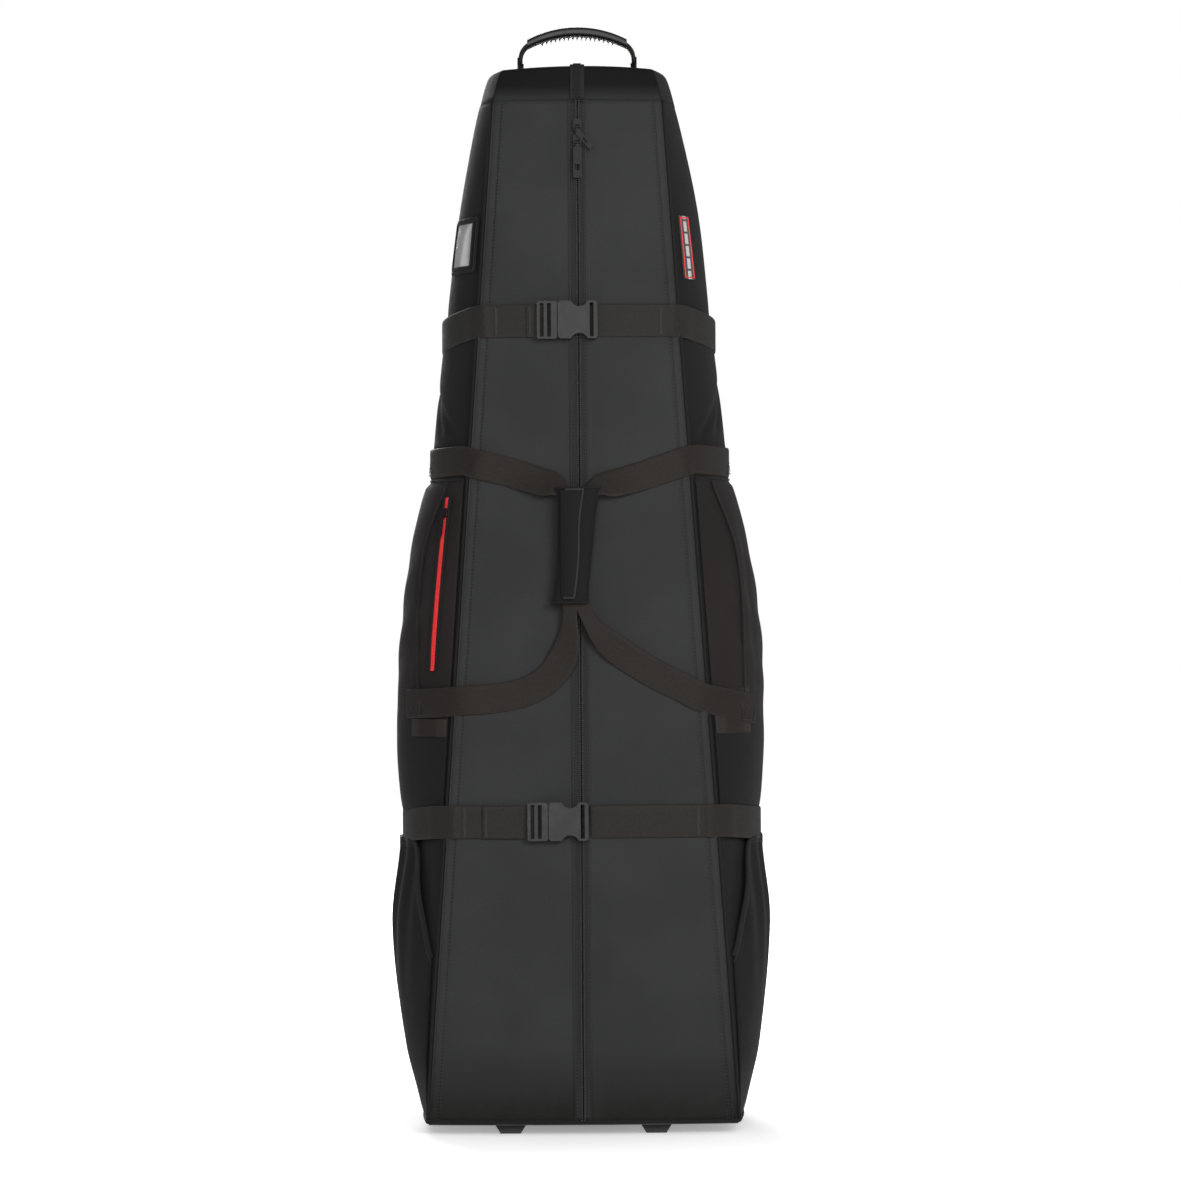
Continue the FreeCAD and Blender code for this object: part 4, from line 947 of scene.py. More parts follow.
def outline_points(z, inset, count=48):
    """The case's whole section as a ring: front arc, side arc, flat back, other side."""
    half = seam_x(z) - inset
    middle = seam_x(z) + swell(z) - inset
    front, back = front_y(z) + inset, BACK_Y - inset
    rear, centre = half - REAR_INSET, (front_y(z) + BACK_Y) / 2
    s = np.linspace(0, 1, count, endpoint=False)
    nose = bow((-half, front), (0.0, front - FRONT_CROWN), (half, front))
    right = bow((half, front), (middle, centre), (rear, back))
    left = bow((-rear, back), (-middle, centre), (-half, front))
    flat = np.stack([rear - 2 * rear * s, np.full(count, back), np.full(count, z)], 1)
    return np.concatenate([bow_point(nose, s, 0, z), bow_point(right, s, 0, z), flat,
                           bow_point(left, s, 0, z)])


def hood_inset(angle):
    """Hood's wall leans in with its height and turns over a tight edge at the top."""
    return HOOD_LEAN * hood_climb(angle) + HOOD_ROLL * (1 - np.cos(angle) ** 0.42)


def hood_arch(x):
    """Crown across the hood: a parabola, highest under the zipper."""
    return HOOD_ARCH * (1 - (x / TOP_HALF) ** 2)


def hood_climb(angle):
    """Share of the hood's height reached at that angle."""
    return np.sin(angle) ** 0.75


class CASE_OT_hood(bpy.types.Operator):
    """Hood: a dome whose edge rolls in by a quarter turn, with a soft crown and lining."""
    bl_idname = "case.hood"
    bl_label = "Hood"

    def execute(self, context):
        rings = []
        for step in np.linspace(0, 1, 18):
            angle = step * QUARTER
            ring = outline_points(SHOULDER, hood_inset(angle))
            climb = hood_climb(angle)
            ring[:, 2] = SHOULDER + (TOP_Z - SHOULDER) * climb + hood_arch(ring[:, 0]) * climb
            rings.append(ring)
        flat = rings[-1]
        centre = np.array([0.0, (flat[:, 1].min() + flat[:, 1].max()) / 2, TOP_Z])
        for share in np.linspace(0.9, 0.06, 12):
            ring = centre + (flat - centre) * share
            ring[:, 2] = TOP_Z + HOOD_DOME * (1 - share ** 2) + hood_arch(ring[:, 0])
            rings.append(ring)
        rings = np.stack(rings)
        ripple = wander(rings[..., 0], rings[..., 1], 31) * 0.0006
        rings[..., 2] += ripple * ease(rings[..., 2], SHOULDER, TOP_Z)
        hood = self.shell(rings, centre)
        # hood_cloth darkens the hood's front edge with painted shade
        for finish in ("hood_cloth", "lining_cloth", "side_cloth", "lining_cloth"):
            hood.data.materials.append(finish_of(finish))
        hood.data.polygons.foreach_set("material_index", self.gussets(hood))
        solid = thickened(hood, HOOD_WALL)
        solid.material_offset = 1
        fasten(hood, "front_fabric", "shell", "hood")
        return {"FINISHED"}

    def gussets(self, hood):
        """Material of each face: 2 where the wall faces sideways, 0 elsewhere."""
        normal = np.empty(len(hood.data.polygons) * 3)
        hood.data.polygons.foreach_get("normal", normal)
        normal = np.abs(normal.reshape(-1, 3))
        return np.where((normal[:, 0] > 0.72) & (normal[:, 2] < 0.72), 2, 0)

    def shell(self, rings, centre):
        """Open dome: rings closed round, with one point in the middle of the top."""
        count, size = rings.shape[:2]
        index = ring_index(count, size)
        crown = np.full(size, count * size)
        cap = np.stack([index[-1, :-1], index[-1, 1:], crown, crown], -1)
        top = centre + [0, 0, 0.0013 + hood_arch(0.0)]
        vertices = np.concatenate([rings.reshape(-1, 3), [top]])
        faces = np.concatenate([quads(index), cap])
        uv = vertices[:, :2].copy()
        uv[:, 1] += vertices[:, 2]
        return make_object("hood_cloth", vertices, faces, uv)


class CASE_OT_back(bpy.types.Operator):
    """Flat back: a panel that billows softly inside its stitched frame."""
    bl_idname = "case.back"
    bl_label = "Back Panel"

    def execute(self, context):
        rows, columns = context.scene.case_view.grid, 90
        z = np.linspace(PANEL_LOW - TUCK, SHOULDER, rows)[:, None]
        share = np.linspace(-1, 1, columns)[None, :]
        x = (seam_x(z) - REAR_INSET) * share
        frame_in = ease(np.abs(share), 0.86, 0.93)
        puff = (1 - share ** 4) * np.sin(np.pi * rise(z).clip(0, 1)) ** 0.3
        channel = sum(bell(x, side * CHANNEL_X, 0.004) for side in (-1, 1))
        channel = channel * ease(z, 0.12, 0.16) * (1 - ease(z, 1.09, 1.13))
        y = BACK_Y + 0.0022 * puff * (1 - frame_in) - 0.0018 * channel
        y = y + 0.0005 * wander(x, z, 41) * (1 - share ** 8)
        y, x, z3 = np.broadcast_arrays(y, x, z)
        outer = np.stack([x, y, z3], -1)
        inner = np.stack([x, np.full_like(x, BACK_Y - WALL), z3], -1)
        keep = self.outside_wheels(outer)
        panel = self.cut_sheet(outer, inner, keep)
        fasten(panel, "side_fabric", "shell", "back_panel")
        rows_of = [stitch_parts(*self.stitch_line(s, x_in)) for s in (-1, 1)
                   for x_in in BACK_STITCHES]
        fit(joined("back_stitching", rows_of), "thread", "webbing", "shell")
        return {"FINISHED"}

    def outside_wheels(self, points):
        """Faces kept: every one that is clear of the two wheel housings."""
        middle = (points[:-1, :-1] + points[1:, 1:]) / 2
        keep = np.ones(middle.shape[:2], bool)
        for name, _ in SIDES:
            low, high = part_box(name + "_wheel_housing")
            inside = (middle[..., 0] > low.x) & (middle[..., 0] < high.x)
            keep &= ~(inside & (middle[..., 2] < high.z))
        return keep

    def cut_sheet(self, outer, inner, keep):
        """Closed sheet over the kept faces only, its rim built along every open edge."""
        rows, columns = outer.shape[:2]
        count = rows * columns
        index = np.arange(count).reshape(rows, columns)
        face = quads(index)[keep.ravel()]
        edges = np.concatenate([face[:, [i, (i + 1) % 4]] for i in range(4)])
        forward = edges[:, 0].astype(np.int64) * count + edges[:, 1]
        backward = edges[:, 1].astype(np.int64) * count + edges[:, 0]
        rim = edges[~np.isin(forward, backward)]
        side = np.stack([rim[:, 1], rim[:, 0], rim[:, 0] + count, rim[:, 1] + count], -1)
        faces = np.concatenate([face, face[:, ::-1] + count, side])
        vertices = np.concatenate([outer.reshape(-1, 3), inner.reshape(-1, 3)])
        faces = outward(vertices, faces)
        used = np.unique(faces)
        renumber = np.zeros(len(vertices), int)
        renumber[used] = np.arange(len(used))
        uv = np.concatenate([grid_uv(outer).reshape(-1, 2)] * 2)[used]
        panel = make_object("back_cloth", vertices[used], renumber[faces], uv)
        two_tone(panel, "side_cloth", "lining_cloth", len(face))
        return panel

    def stitch_line(self, side, inset):
        """Path and directions of one row down the back, inward from its seam."""
        z = np.linspace(0.10, SHOULDER - 0.012, 200)
        path = np.stack([side * (seam_x(z) - REAR_INSET - inset), np.full(200, BACK_Y + 0.0008),
                         z], 1)
        return path, np.tile([0.0, 1.0, 0.0], (200, 1))


class CASE_OT_piping(bpy.types.Operator):
    """Corded piping along every long seam, with stitching beside the hinge edges."""
    bl_idname = "case.piping"
    bl_label = "Piping and Binding"

    def execute(self, context):
        radius = context.scene.case_sizes.piping
        parts = []
        for _, side in SIDES:
            parts.append(cord_parts(seam_line(side, 160, 0.0016, 0.0050), radius))
            z = np.linspace(BASE_Z + 0.004, SHOULDER, 160)
            rear = np.stack([side * (seam_x(z) - REAR_INSET + 0.0012),
                             np.full(160, BACK_Y - 0.0012), z], 1)
            parts.append(cord_parts(rear, radius))
        base = outline_points(BASE_Z + 0.0035, -0.0010)
        parts.append(cord_parts(self.closed(base), radius * 1.1))
        fit(joined("seam_piping", parts), "binding", "side_fabric", "shell")
        self.rows_of_stitches(context)
        return {"FINISHED"}

    def closed(self, ring):
        """Ring with its first points repeated so that the cord overlaps itself."""
        return np.concatenate([ring, ring[:2]])

    def rows_of_stitches(self, context):
        """Twin rows of stitches that hold the seam allowance down beside each hinge edge."""
        for name, side in SIDES:
            sizes = context.scene.case_sizes
            z = np.linspace(PANEL_LOW, DOOR_HIGH - 0.001, 220)
            normal = np.tile([0.0, -1.0, 0.06], (len(z), 1))
            rows = []
            for inset in HINGE_STITCHES:
                x = seam_x(z) - inset
                line = mirrored(front_point(z, x, front_relief(x, z, sizes) + 0.0003), side)
                rows.append(stitch_parts(line, normal, sizes.stitch))
            fit(joined(name + "_hinge_stitching", rows), "thread", "front_fabric", name + "_door")


class CASE_OT_base(bpy.types.Operator):
    """Base: the frame's own panel, boards, feet, wheels and fastenings, given finishes."""
    bl_idname = "case.base"
    bl_label = "Base and Wheels"

    def execute(self, context):
        dress_node("housing", "base_panel", "left_wheel_housing", "right_wheel_housing",
                   "front_feet")
        dress_node("board", "stiffener_boards")
        dress_node("steel", "wheel_axles", "base_screws", "left_bearings", "right_bearings")
        dress_node("tyre", "left_tyre", "right_tyre")
        dress_node("hub", "left_hub", "right_hub")
        return {"FINISHED"}


# --- zipper -------------------------------------------------------------------------------
def coil_parts(path, normal, side, pitch):
    """Half a nylon coil: short beads leaning across the line, one for every turn."""
    total = np.linalg.norm(np.diff(path, axis=0), axis=1).sum()
    both = resampled(np.concatenate([path, normal], 1), max(int(total / pitch), 4))
    place, normal = both[:, :3], unit(both[:, 3:])
    tangent = unit(np.gradient(place, axis=0))
    across = np.cross(normal, tangent)
    across = across * np.sign(across[:, :1]) * side
    lean = unit(across + 0.35 * tangent)
    template, faces = bead(0.0030, 0.0015, 0.0015)
    return stamped(template, faces, place + across * 0.0014,
                   np.stack([lean, np.cross(normal, lean), normal], 1))


class CASE_OT_zipper(bpy.types.Operator):
    """Main zipper: a tape and half a coil on each flap, and the fixed run over the hood."""
    bl_idname = "case.zipper"
    bl_label = "Main Zipper"

    def execute(self, context):
        sizes = context.scene.case_sizes
        z = np.linspace(PANEL_LOW, DOOR_HIGH, 240)
        normal = np.tile([0.0, -1.0, 0.06], (len(z), 1))
        for name, side in SIDES:
            tape = mirrored(front_point(z, 0.0046, 0.0010), side)
            parts = [ribbon_parts(tape, normal, 0.0078, 0.0010)]
            fit(joined(name + "_tape", parts), "zip_tape", "zip_tape", name + "_door",
                name + "_zip_tape")
            middle = mirrored(front_point(z, 0.0002, 0.0019), side)
            coil = joined(name + "_coil", [coil_parts(middle, normal, side, sizes.tooth)])
            fit(coil, "zip_coil", "zip_tape", name + "_door")
            row = mirrored(front_point(z, 0.0074, 0.0017), side)
            sewn = joined(name + "_zip_stitching", [stitch_parts(row, normal, sizes.stitch)])
            fit(sewn, "thread", "zip_tape", name + "_door")
        self.hood_run(sizes)
        dress_node("black_metal", "lower_slider", "lower_pull", "upper_slider", "upper_pull",
                   "pocket_slider")
        return {"FINISHED"}

    def hood_run(self, sizes):
        """Tape that climbs the hood's front edge and runs back over its top."""
        angle = np.linspace(0, QUARTER, 16)
        y = front_y(SHOULDER) - FRONT_CROWN + hood_inset(angle)
        z = SHOULDER + (TOP_Z - SHOULDER + HOOD_ARCH) * hood_climb(angle)
        lift = np.stack([0 * y, -np.cos(angle), np.sin(angle)], 1)
        roll = np.stack([0 * y, y, z], 1) + lift * 0.0014
        flat_y = np.linspace(roll[-1, 1] + 0.006, -0.004, 12)
        hump = (1 - (np.abs(flat_y - 0.030) / 0.097) ** 2).clip(0, 1)
        crown = TOP_Z + HOOD_ARCH + 0.0010 + 0.0013 * hump
        flat = np.stack([0 * flat_y, flat_y, crown], 1)
        path = np.concatenate([roll, flat])
        normal = np.concatenate([lift, np.tile([0.0, 0.0, 1.0], (len(flat), 1))])
        tape = joined("hood_tape", [ribbon_parts(path, normal, 0.0170, 0.0012)])
        fit(tape, "zip_tape", "zip_tape", "shell", "hood_zip")
        band = joined("hood_band", [ribbon_parts(path + normal * 0.0010, normal, 0.0092, 0.0016)])
        fit(band, "binding", "zip_tape", "shell")
        rows = [stitch_parts(path + normal * 0.0017 + [side * 0.0036, 0, 0], normal, sizes.stitch)
                for side in (-1, 1)]
        fit(joined("hood_band_stitching", rows), "thread", "zip_tape", "shell")


# --- straps -------------------------------------------------------------------------------
def side_path(surface, z, shares, out):
    """Points and outward directions along a side surface."""
    here = surface(z, shares, out)
    return here, unit(surface(z, shares, out + 0.01) - here)


def front_path(z, x, out):
    """Points and outward directions along the front."""
    here = front_point(z, x, out)
    return here, unit(front_point(z, x, np.asarray(out) + 0.01) - here)


def wrapped_path(surface, side_z, shares, side_out, front_z, x, front_out, count):
    """Strap line round the corner: along the side to its seam, then across the front."""
    a, na = side_path(surface, np.asarray(side_z), np.asarray(shares), np.asarray(side_out))
    b, nb = front_path(np.asarray(front_z), np.asarray(x), np.asarray(front_out))
    line = smooth_path(np.concatenate([np.concatenate([a, b]), np.concatenate([na, nb])], 1),
                       count)
    return line[:, :3], unit(line[:, 3:])


def belt(band, finish, name, side, *nodes):
    """Finish webbing that crosses a flap's hinge line, hide the frame's nodes it stands for and
    bake its transform.
    """
    dress(band, finish)
    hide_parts(*nodes)
    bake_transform(band)


def box_stitches(surface, z, share, half_z, half_share, out, side, sizes):
    """Sewn box with a cross in it: straight rows of stitches laid on a side surface."""
    corners = [(-1, -1), (1, -1), (1, 1), (-1, 1), (-1, -1), (1, 1), (1, -1), (-1, 1)]
    rows = []
    for (a, b), (c, d) in zip(corners[:-1], corners[1:]):
        t = np.linspace(0, 1, 14)
        line, normal = side_path(surface, z + half_z * (b + (d - b) * t),
                                 share + half_share * (a + (c - a) * t), out)
        rows.append(stitch_parts(mirrored(line, side), mirrored(normal, side),
                                 sizes.stitch * 0.8))
    return rows


def bar_tack(centre, across, normal, half):
    """Dense bar of zigzag stitches across a strap."""
    t = np.linspace(-1, 1, 40)[:, None]
    tangent = np.cross(across, normal)
    path = centre + across * half * t + tangent * 0.0012 * np.sign(np.sin(t * 60))
    return stitch_parts(path, np.tile(normal, (40, 1)), 0.0016, 0.0030, 0.0010)


class CASE_OT_straps(bpy.types.Operator):
    """Two compression straps: webbing from the rear seams round to the buckles."""
    bl_idname = "case.straps"
    bl_label = "Compression Straps"

    def execute(self, context):
        for height, surface, drop, reach in (("top", side_point, 0.016, 0.99),
                                             ("lower", shoe_point, 0.009, 0.90)):
            for name, side in SIDES:
                self.strap(height, surface, drop, reach, name, side)
        dress_node("buckle", *[f"{height}_buckle_{part}" for height in STRAP_Z
                               for part in ("socket", "frame", "upper_arm", "lower_arm")])
        return {"FINISHED"}

    def strap(self, height, surface, drop, reach, name, side):
        """Webbing with a shallow sag along the side, then level across its flap."""
        level = STRAP_Z[height]
        edge = seam_x(level)
        low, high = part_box(f"{height}_strap_{name}")
        inner = min(abs(low.x), abs(high.x))
        shares = np.linspace(reach, 0.03, 14)
        side_z = level - drop * np.sin(np.pi * np.minimum(shares / 0.9, 1) * 0.62)
        x = np.concatenate([[edge - 0.005, edge - 0.014], np.linspace(edge - 0.03, inner, 9)])
        out = np.full(14, 0.0022) + 0.0020 * bell(shares, 0.03, 0.05)
        over = np.full(len(x), 0.0019) + 0.0016 * bell(x, edge, 0.008)
        path, normal = wrapped_path(surface, side_z, shares, out, np.full(len(x), level), x,
                                    over, 150)
        path, normal = mirrored(path, side), mirrored(normal, side)
        band = joined(f"{height}_{name}_strap", [ribbon_parts(path, normal, WEB_WIDTH,
                                                              WEB_THICK)])
        belt(band, "webbing", name, side, f"{height}_strap_{name}", f"{height}_strap_sides")
        self.fittings(height, level, name, side, edge, inner)

    def fittings(self, height, level, name, side, edge, inner):
        """Folded tail beside the buckle on the left, and bar tacks near the seams."""
        rows = []
        up = np.array([0.0, 0.0, 1.0])
        out = np.array([0.0, -1.0, 0.0])
        tacks = [(edge - 0.020, 0.0030)]
        if side < 0:
            end = inner + {"top": 0.024, "lower": 0.064}[height]
            x = np.linspace(inner + 0.001, end, 40)
            path, normal = front_path(np.full(40, level), x, 0.0041)
            fold = joined(f"{height}_strap_tail", [ribbon_parts(mirrored(path, side),
                                                                mirrored(normal, side),
                                                                WEB_WIDTH, WEB_THICK)])
            fit(fold, "webbing", "webbing", name + "_door")
            tacks.append((end - 0.004, 0.0054))
        for x, lift in tacks:
            centre = mirrored(front_point(level, x, lift), side)
            rows.append(bar_tack(centre, up, out, WEB_WIDTH / 2 - 0.003))
        sewn = joined(f"{height}_{name}_tacks", rows)
        fit(sewn, "thread", "webbing", name + "_door")


class CASE_OT_carry(bpy.types.Operator):
    """Two carry straps: each runs from the side, through the wrap and back to the side."""
    bl_idname = "case.carry"
    bl_label = "Carry Straps"

    def execute(self, context):
        for name, side in SIDES:
            self.strap(context, name, side)
        return {"FINISHED"}

    def route(self, side):
        """Front points (x, z, lift) from the upper seam through the wrap to the lower one."""
        mid = WRAP_LIFT + WRAP_THICK / 2
        if side > 0:
            upper = [(0.120, 0.7735, 0.0026), (0.098, 0.766, 0.0026), (0.072, 0.7575, 0.003),
                     (0.044, 0.750, 0.008), (0.022, 0.7455, 0.014), (0.0105, 0.732, mid)]
            within = [(0.0065, 0.705, mid), (0.004, 0.660, mid), (0.0005, 0.625, mid)]
            lower = [(0.0045, 0.604, mid - 0.001), (0.0195, 0.578, 0.014),
                     (0.038, 0.560, 0.008), (0.058, 0.545, 0.004), (0.086, 0.528, 0.0028),
                     (0.116, 0.513, 0.0026), (0.1385, 0.5015, 0.0028)]
        else:
            upper = [(0.120, 0.7725, 0.0026), (0.098, 0.767, 0.0026), (0.072, 0.760, 0.003),
                     (0.046, 0.752, 0.008), (0.027, 0.746, 0.014), (0.0155, 0.732, mid)]
            within = [(0.0135, 0.705, mid), (0.0135, 0.660, mid), (0.0130, 0.625, mid)]
            lower = [(0.0120, 0.600, mid - 0.001), (0.0140, 0.570, 0.014),
                     (0.022, 0.545, 0.009), (0.038, 0.524, 0.005), (0.064, 0.509, 0.003),
                     (0.098, 0.5015, 0.0026), (0.1385, 0.499, 0.0028)]
        return np.array(upper + within + lower)

    def strap(self, context, name, side):
        """Webbing from the side, across the flap through the wrap, and back to the side."""
        sizes = context.scene.case_sizes
        top_share = np.linspace(0.50, 0.03, 7)
        top, top_normal = side_path(side_point, 0.777 - 0.004 * top_share, top_share, 0.0026)
        front = self.route(side)
        middle, middle_normal = front_path(front[:, 1], front[:, 0], front[:, 2])
        end_share = np.linspace(0.03, 0.27, 6)
        low_z = 0.497 - (0.012 if side > 0 else 0.003) * end_share / end_share[-1]
        low, low_normal = side_path(shoe_point, low_z, end_share, 0.0030)
        line = np.concatenate([top, middle, low])
        normal = np.concatenate([top_normal, middle_normal, low_normal])
        both = smooth_path(np.concatenate([line, normal], 1), 330)
        path, normal = mirrored(both[:, :3], side), mirrored(unit(both[:, 3:]), side)
        normal = self.twisted(path, normal, side)
        z, x = path[:, 2], np.abs(path[:, 0])
        gather = ease(z, 0.545, 0.600) * (1 - ease(z, 0.738, 0.752)) * (1 - ease(x, 0.02, 0.045))
        band = joined(name + "_carry_strap", [ribbon_parts(path, normal, CARRY_WIDTH, 0.0024,
                                                           1 - 0.50 * gather)])
        belt(band, "carry_webbing", name, side, name + "_carry_web", "carry_anchors")
        self.sewing(sizes, name, side)

    def twisted(self, path, normal, side):
        """Lean the strap out of flat where it hangs free just above and below the wrap."""
        z = path[:, 2]
        near = np.clip(1 - np.abs(path[:, 0]) / 0.085, 0, 1)
        above = bell(z, 0.752, 0.016) * near
        below = bell(z, 0.566, 0.038) * near
        tilt = np.stack([0 * z, 0 * z, 0.75 * above - 0.55 * below], 1)
        tilt[:, 0] += side * 0.45 * below
        return unit(normal + tilt)

    def sewing(self, sizes, name, side):
        """Boxed crosses where each strap is sewn down on the side."""
        rows = []
        low_spot = 0.4870 if side > 0 else 0.4950
        spots = [(side_point, 0.775, 0.40, 0.0037), (shoe_point, low_spot, 0.205, 0.0042)]
        for surface, z, share, out in spots:
            rows += box_stitches(surface, z, share, 0.0128, 0.045, out, side, sizes)
        sewn = joined(name + "_carry_sewing", rows)
        fit(sewn, "thread", "webbing", "shell")
        low, high = ((0.459, 0.512), (0.457, 0.4775))[side < 0]
        near, far = shares_at_x(shoe_point, [low, low], (0.156, 0.196))
        backing = patch(name + "_carry_patch", low, high, near, far, 0.0004, 0.0013, side,
                        0.0004, shoe_point)
        fit(backing, "carry_webbing", "webbing", "shell")


def tube_shell(name, rings, thickness):
    """Open sleeve from rings of points, given its wall by a Solidify modifier."""
    faces = quads(ring_index(*rings.shape[:2]))
    along, around = distances(rings[:, 0]), distances(rings[0])
    uv = np.stack(np.broadcast_arrays(around[None], along[:, None]), -1).reshape(-1, 2)
    flat = rings.reshape(-1, 3)
    centre = rings.mean(1, keepdims=True)
    a, b, c = flat[faces[0, 0]], flat[faces[0, 1]], flat[faces[0, 3]]
    facing = np.dot(np.cross(b - a, c - a), a - centre[0, 0])
    sleeve = make_object(name, flat, faces if facing > 0 else faces[:, ::-1], uv)
    thickened(sleeve, thickness)
    return sleeve


def wrap_centre(z):
    """Middle of the wrap's width: it leans a little to the right towards its top."""
    t = (z - WRAP_LOW) / (WRAP_HIGH - WRAP_LOW)
    return -0.0085 + 0.0060 * t - 0.0030 * (1 - t) ** 4


def wrap_half(z):
    """Half width: narrower at the foot, fuller at the mouth."""
    t = (z - WRAP_LOW) / (WRAP_HIGH - WRAP_LOW)
    return 0.0188 + 0.0052 * t + 0.0030 * np.exp(-t / 0.07) + 0.0016 * np.exp((t - 1) / 0.06)


class CASE_OT_wrap(bpy.types.Operator):
    """Padded sleeve that gathers the carry straps, and its hook-and-loop flap."""
    bl_idname = "case.wrap"
    bl_label = "Carry Wrap"

    def execute(self, context):
        rows, columns = 70, 84
        z = np.linspace(WRAP_LOW, WRAP_HIGH, rows)[:, None]
        angle = np.linspace(0, 2 * np.pi, columns, endpoint=False)[None]
        power = 0.62
        cx = np.sign(np.cos(angle)) * np.abs(np.cos(angle)) ** power
        cy = np.sign(np.sin(angle)) * np.abs(np.sin(angle)) ** power
        waist = 1 - 0.035 * np.sin(np.pi * (z - WRAP_LOW) / (WRAP_HIGH - WRAP_LOW))
        puff = 0.0012 * wander(angle * 0.05, z, 51)
        x = wrap_centre(z) + (wrap_half(z) + puff) * waist * cx
        lift = WRAP_LIFT + 0.0115 + (0.0118 + puff) * cy * (0.86 + 0.14 * np.sin(
            np.pi * (z - WRAP_LOW) / (WRAP_HIGH - WRAP_LOW)) ** 0.4)
        rings = front_point(z, x, lift)
        sleeve = tube_shell("wrap_sleeve", rings, 0.0042)
        dress(sleeve, "wrap_cloth")
        smoother = sleeve.modifiers.new("smooth", "SUBSURF")
        smoother.levels = smoother.render_levels = 1
        fasten(sleeve, "front_fabric", "right_door", "carry_wrap")
        ends = [cord_parts(np.concatenate([rings[i], rings[i][:2]]), 0.0014) for i in (0, -1)]
        fit(joined("wrap_binding", ends), "binding", "front_fabric", "right_door")
        self.flap()
        return {"FINISHED"}

    def flap(self):
        """Flap: a thin pad over the front of the sleeve with a curved, bound free edge."""
        rows, columns = 60, 26
        z = np.linspace(WRAP_LOW + 0.005, WRAP_HIGH - 0.002, rows)[:, None]
        share = np.linspace(0, 1, columns)[None]
        t = (z - WRAP_LOW) / (WRAP_HIGH - WRAP_LOW)
        left = np.maximum(wrap_centre(z) - wrap_half(z) * 0.86, FLAP_HINGE_X)
        right = -0.0085 + 0.0120 * t ** 0.7 + 0.0022 * np.sin(2.2 * np.pi * t) * t
        x = left + (right - left) * share
        rest = WRAP_LIFT + WRAP_THICK + 0.0006 - 0.0030 * (1 - share) ** 3
        corner = 1 - 0.5 * (1 - ease(t, 0.0, 0.06)) * share ** 6
        lift = rest + 0.0022 * (1 - share ** 8) * corner
        outer = front_point(z, x, lift)
        inner = front_point(z, x, rest)
        cover = sheet("wrap_cover", outer, inner)
        fit(cover, "wrap_cloth", "front_fabric", "wrap_flap", "wrap_flap")
        edge = np.concatenate([outer[-1, 5:-1], outer[::-1, -1], outer[0, -2:4:-1]])
        normal = np.tile([0.0, -1.0, 0.0], (len(edge), 1))
        inset = edge + np.array([-0.0028, -0.0003, 0.0])
        # painted highlight: the flap's free edge is bound in lighter cloth where light catches it
        parts = [ribbon_parts(edge + [0, 0.0002, 0], normal, 0.0024, 0.0022)]
        fit(joined("wrap_cover_edge", parts), "edging", "front_fabric", "wrap_flap")
        row = joined("wrap_cover_sewing", [stitch_parts(inset[22:-22], normal[22:-22], 0.0036)])
        fit(row, "thread", "front_fabric", "wrap_flap")


# --- pockets ------------------------------------------------------------------------------
def shares_at_x(surface, z, x):
    """Share on a side surface whose point lies nearest the wanted half width."""
    trial = np.linspace(0.0, 0.6, 240)[None]
    reach = surface(np.asarray(z)[:, None], trial, 0.0)[..., 0]
    return trial[0, np.abs(reach - np.asarray(x)[:, None]).argmin(1)]


def softened(values, width):
    """Running mean with its ends held."""
    wide = np.concatenate([np.full(width, values[0]), values, np.full(width, values[-1])])
    kernel = np.ones(2 * width + 1) / (2 * width + 1)
    return np.convolve(wide, kernel, "valid")


def seated(surface, span, z, share, relief, seat, thick):
    """Both sides of a pocket's cloth, drawn in to the side panel where seat falls to 0."""
    under = side_point(z, span[0] + (span[1] - span[0]) * share, 0.0008)
    outer = under + (surface(z, share, relief) - under) * seat[..., None]
    return outer, outer - thick * unit(surface(z, share, 0.01) - surface(z, share, 0))


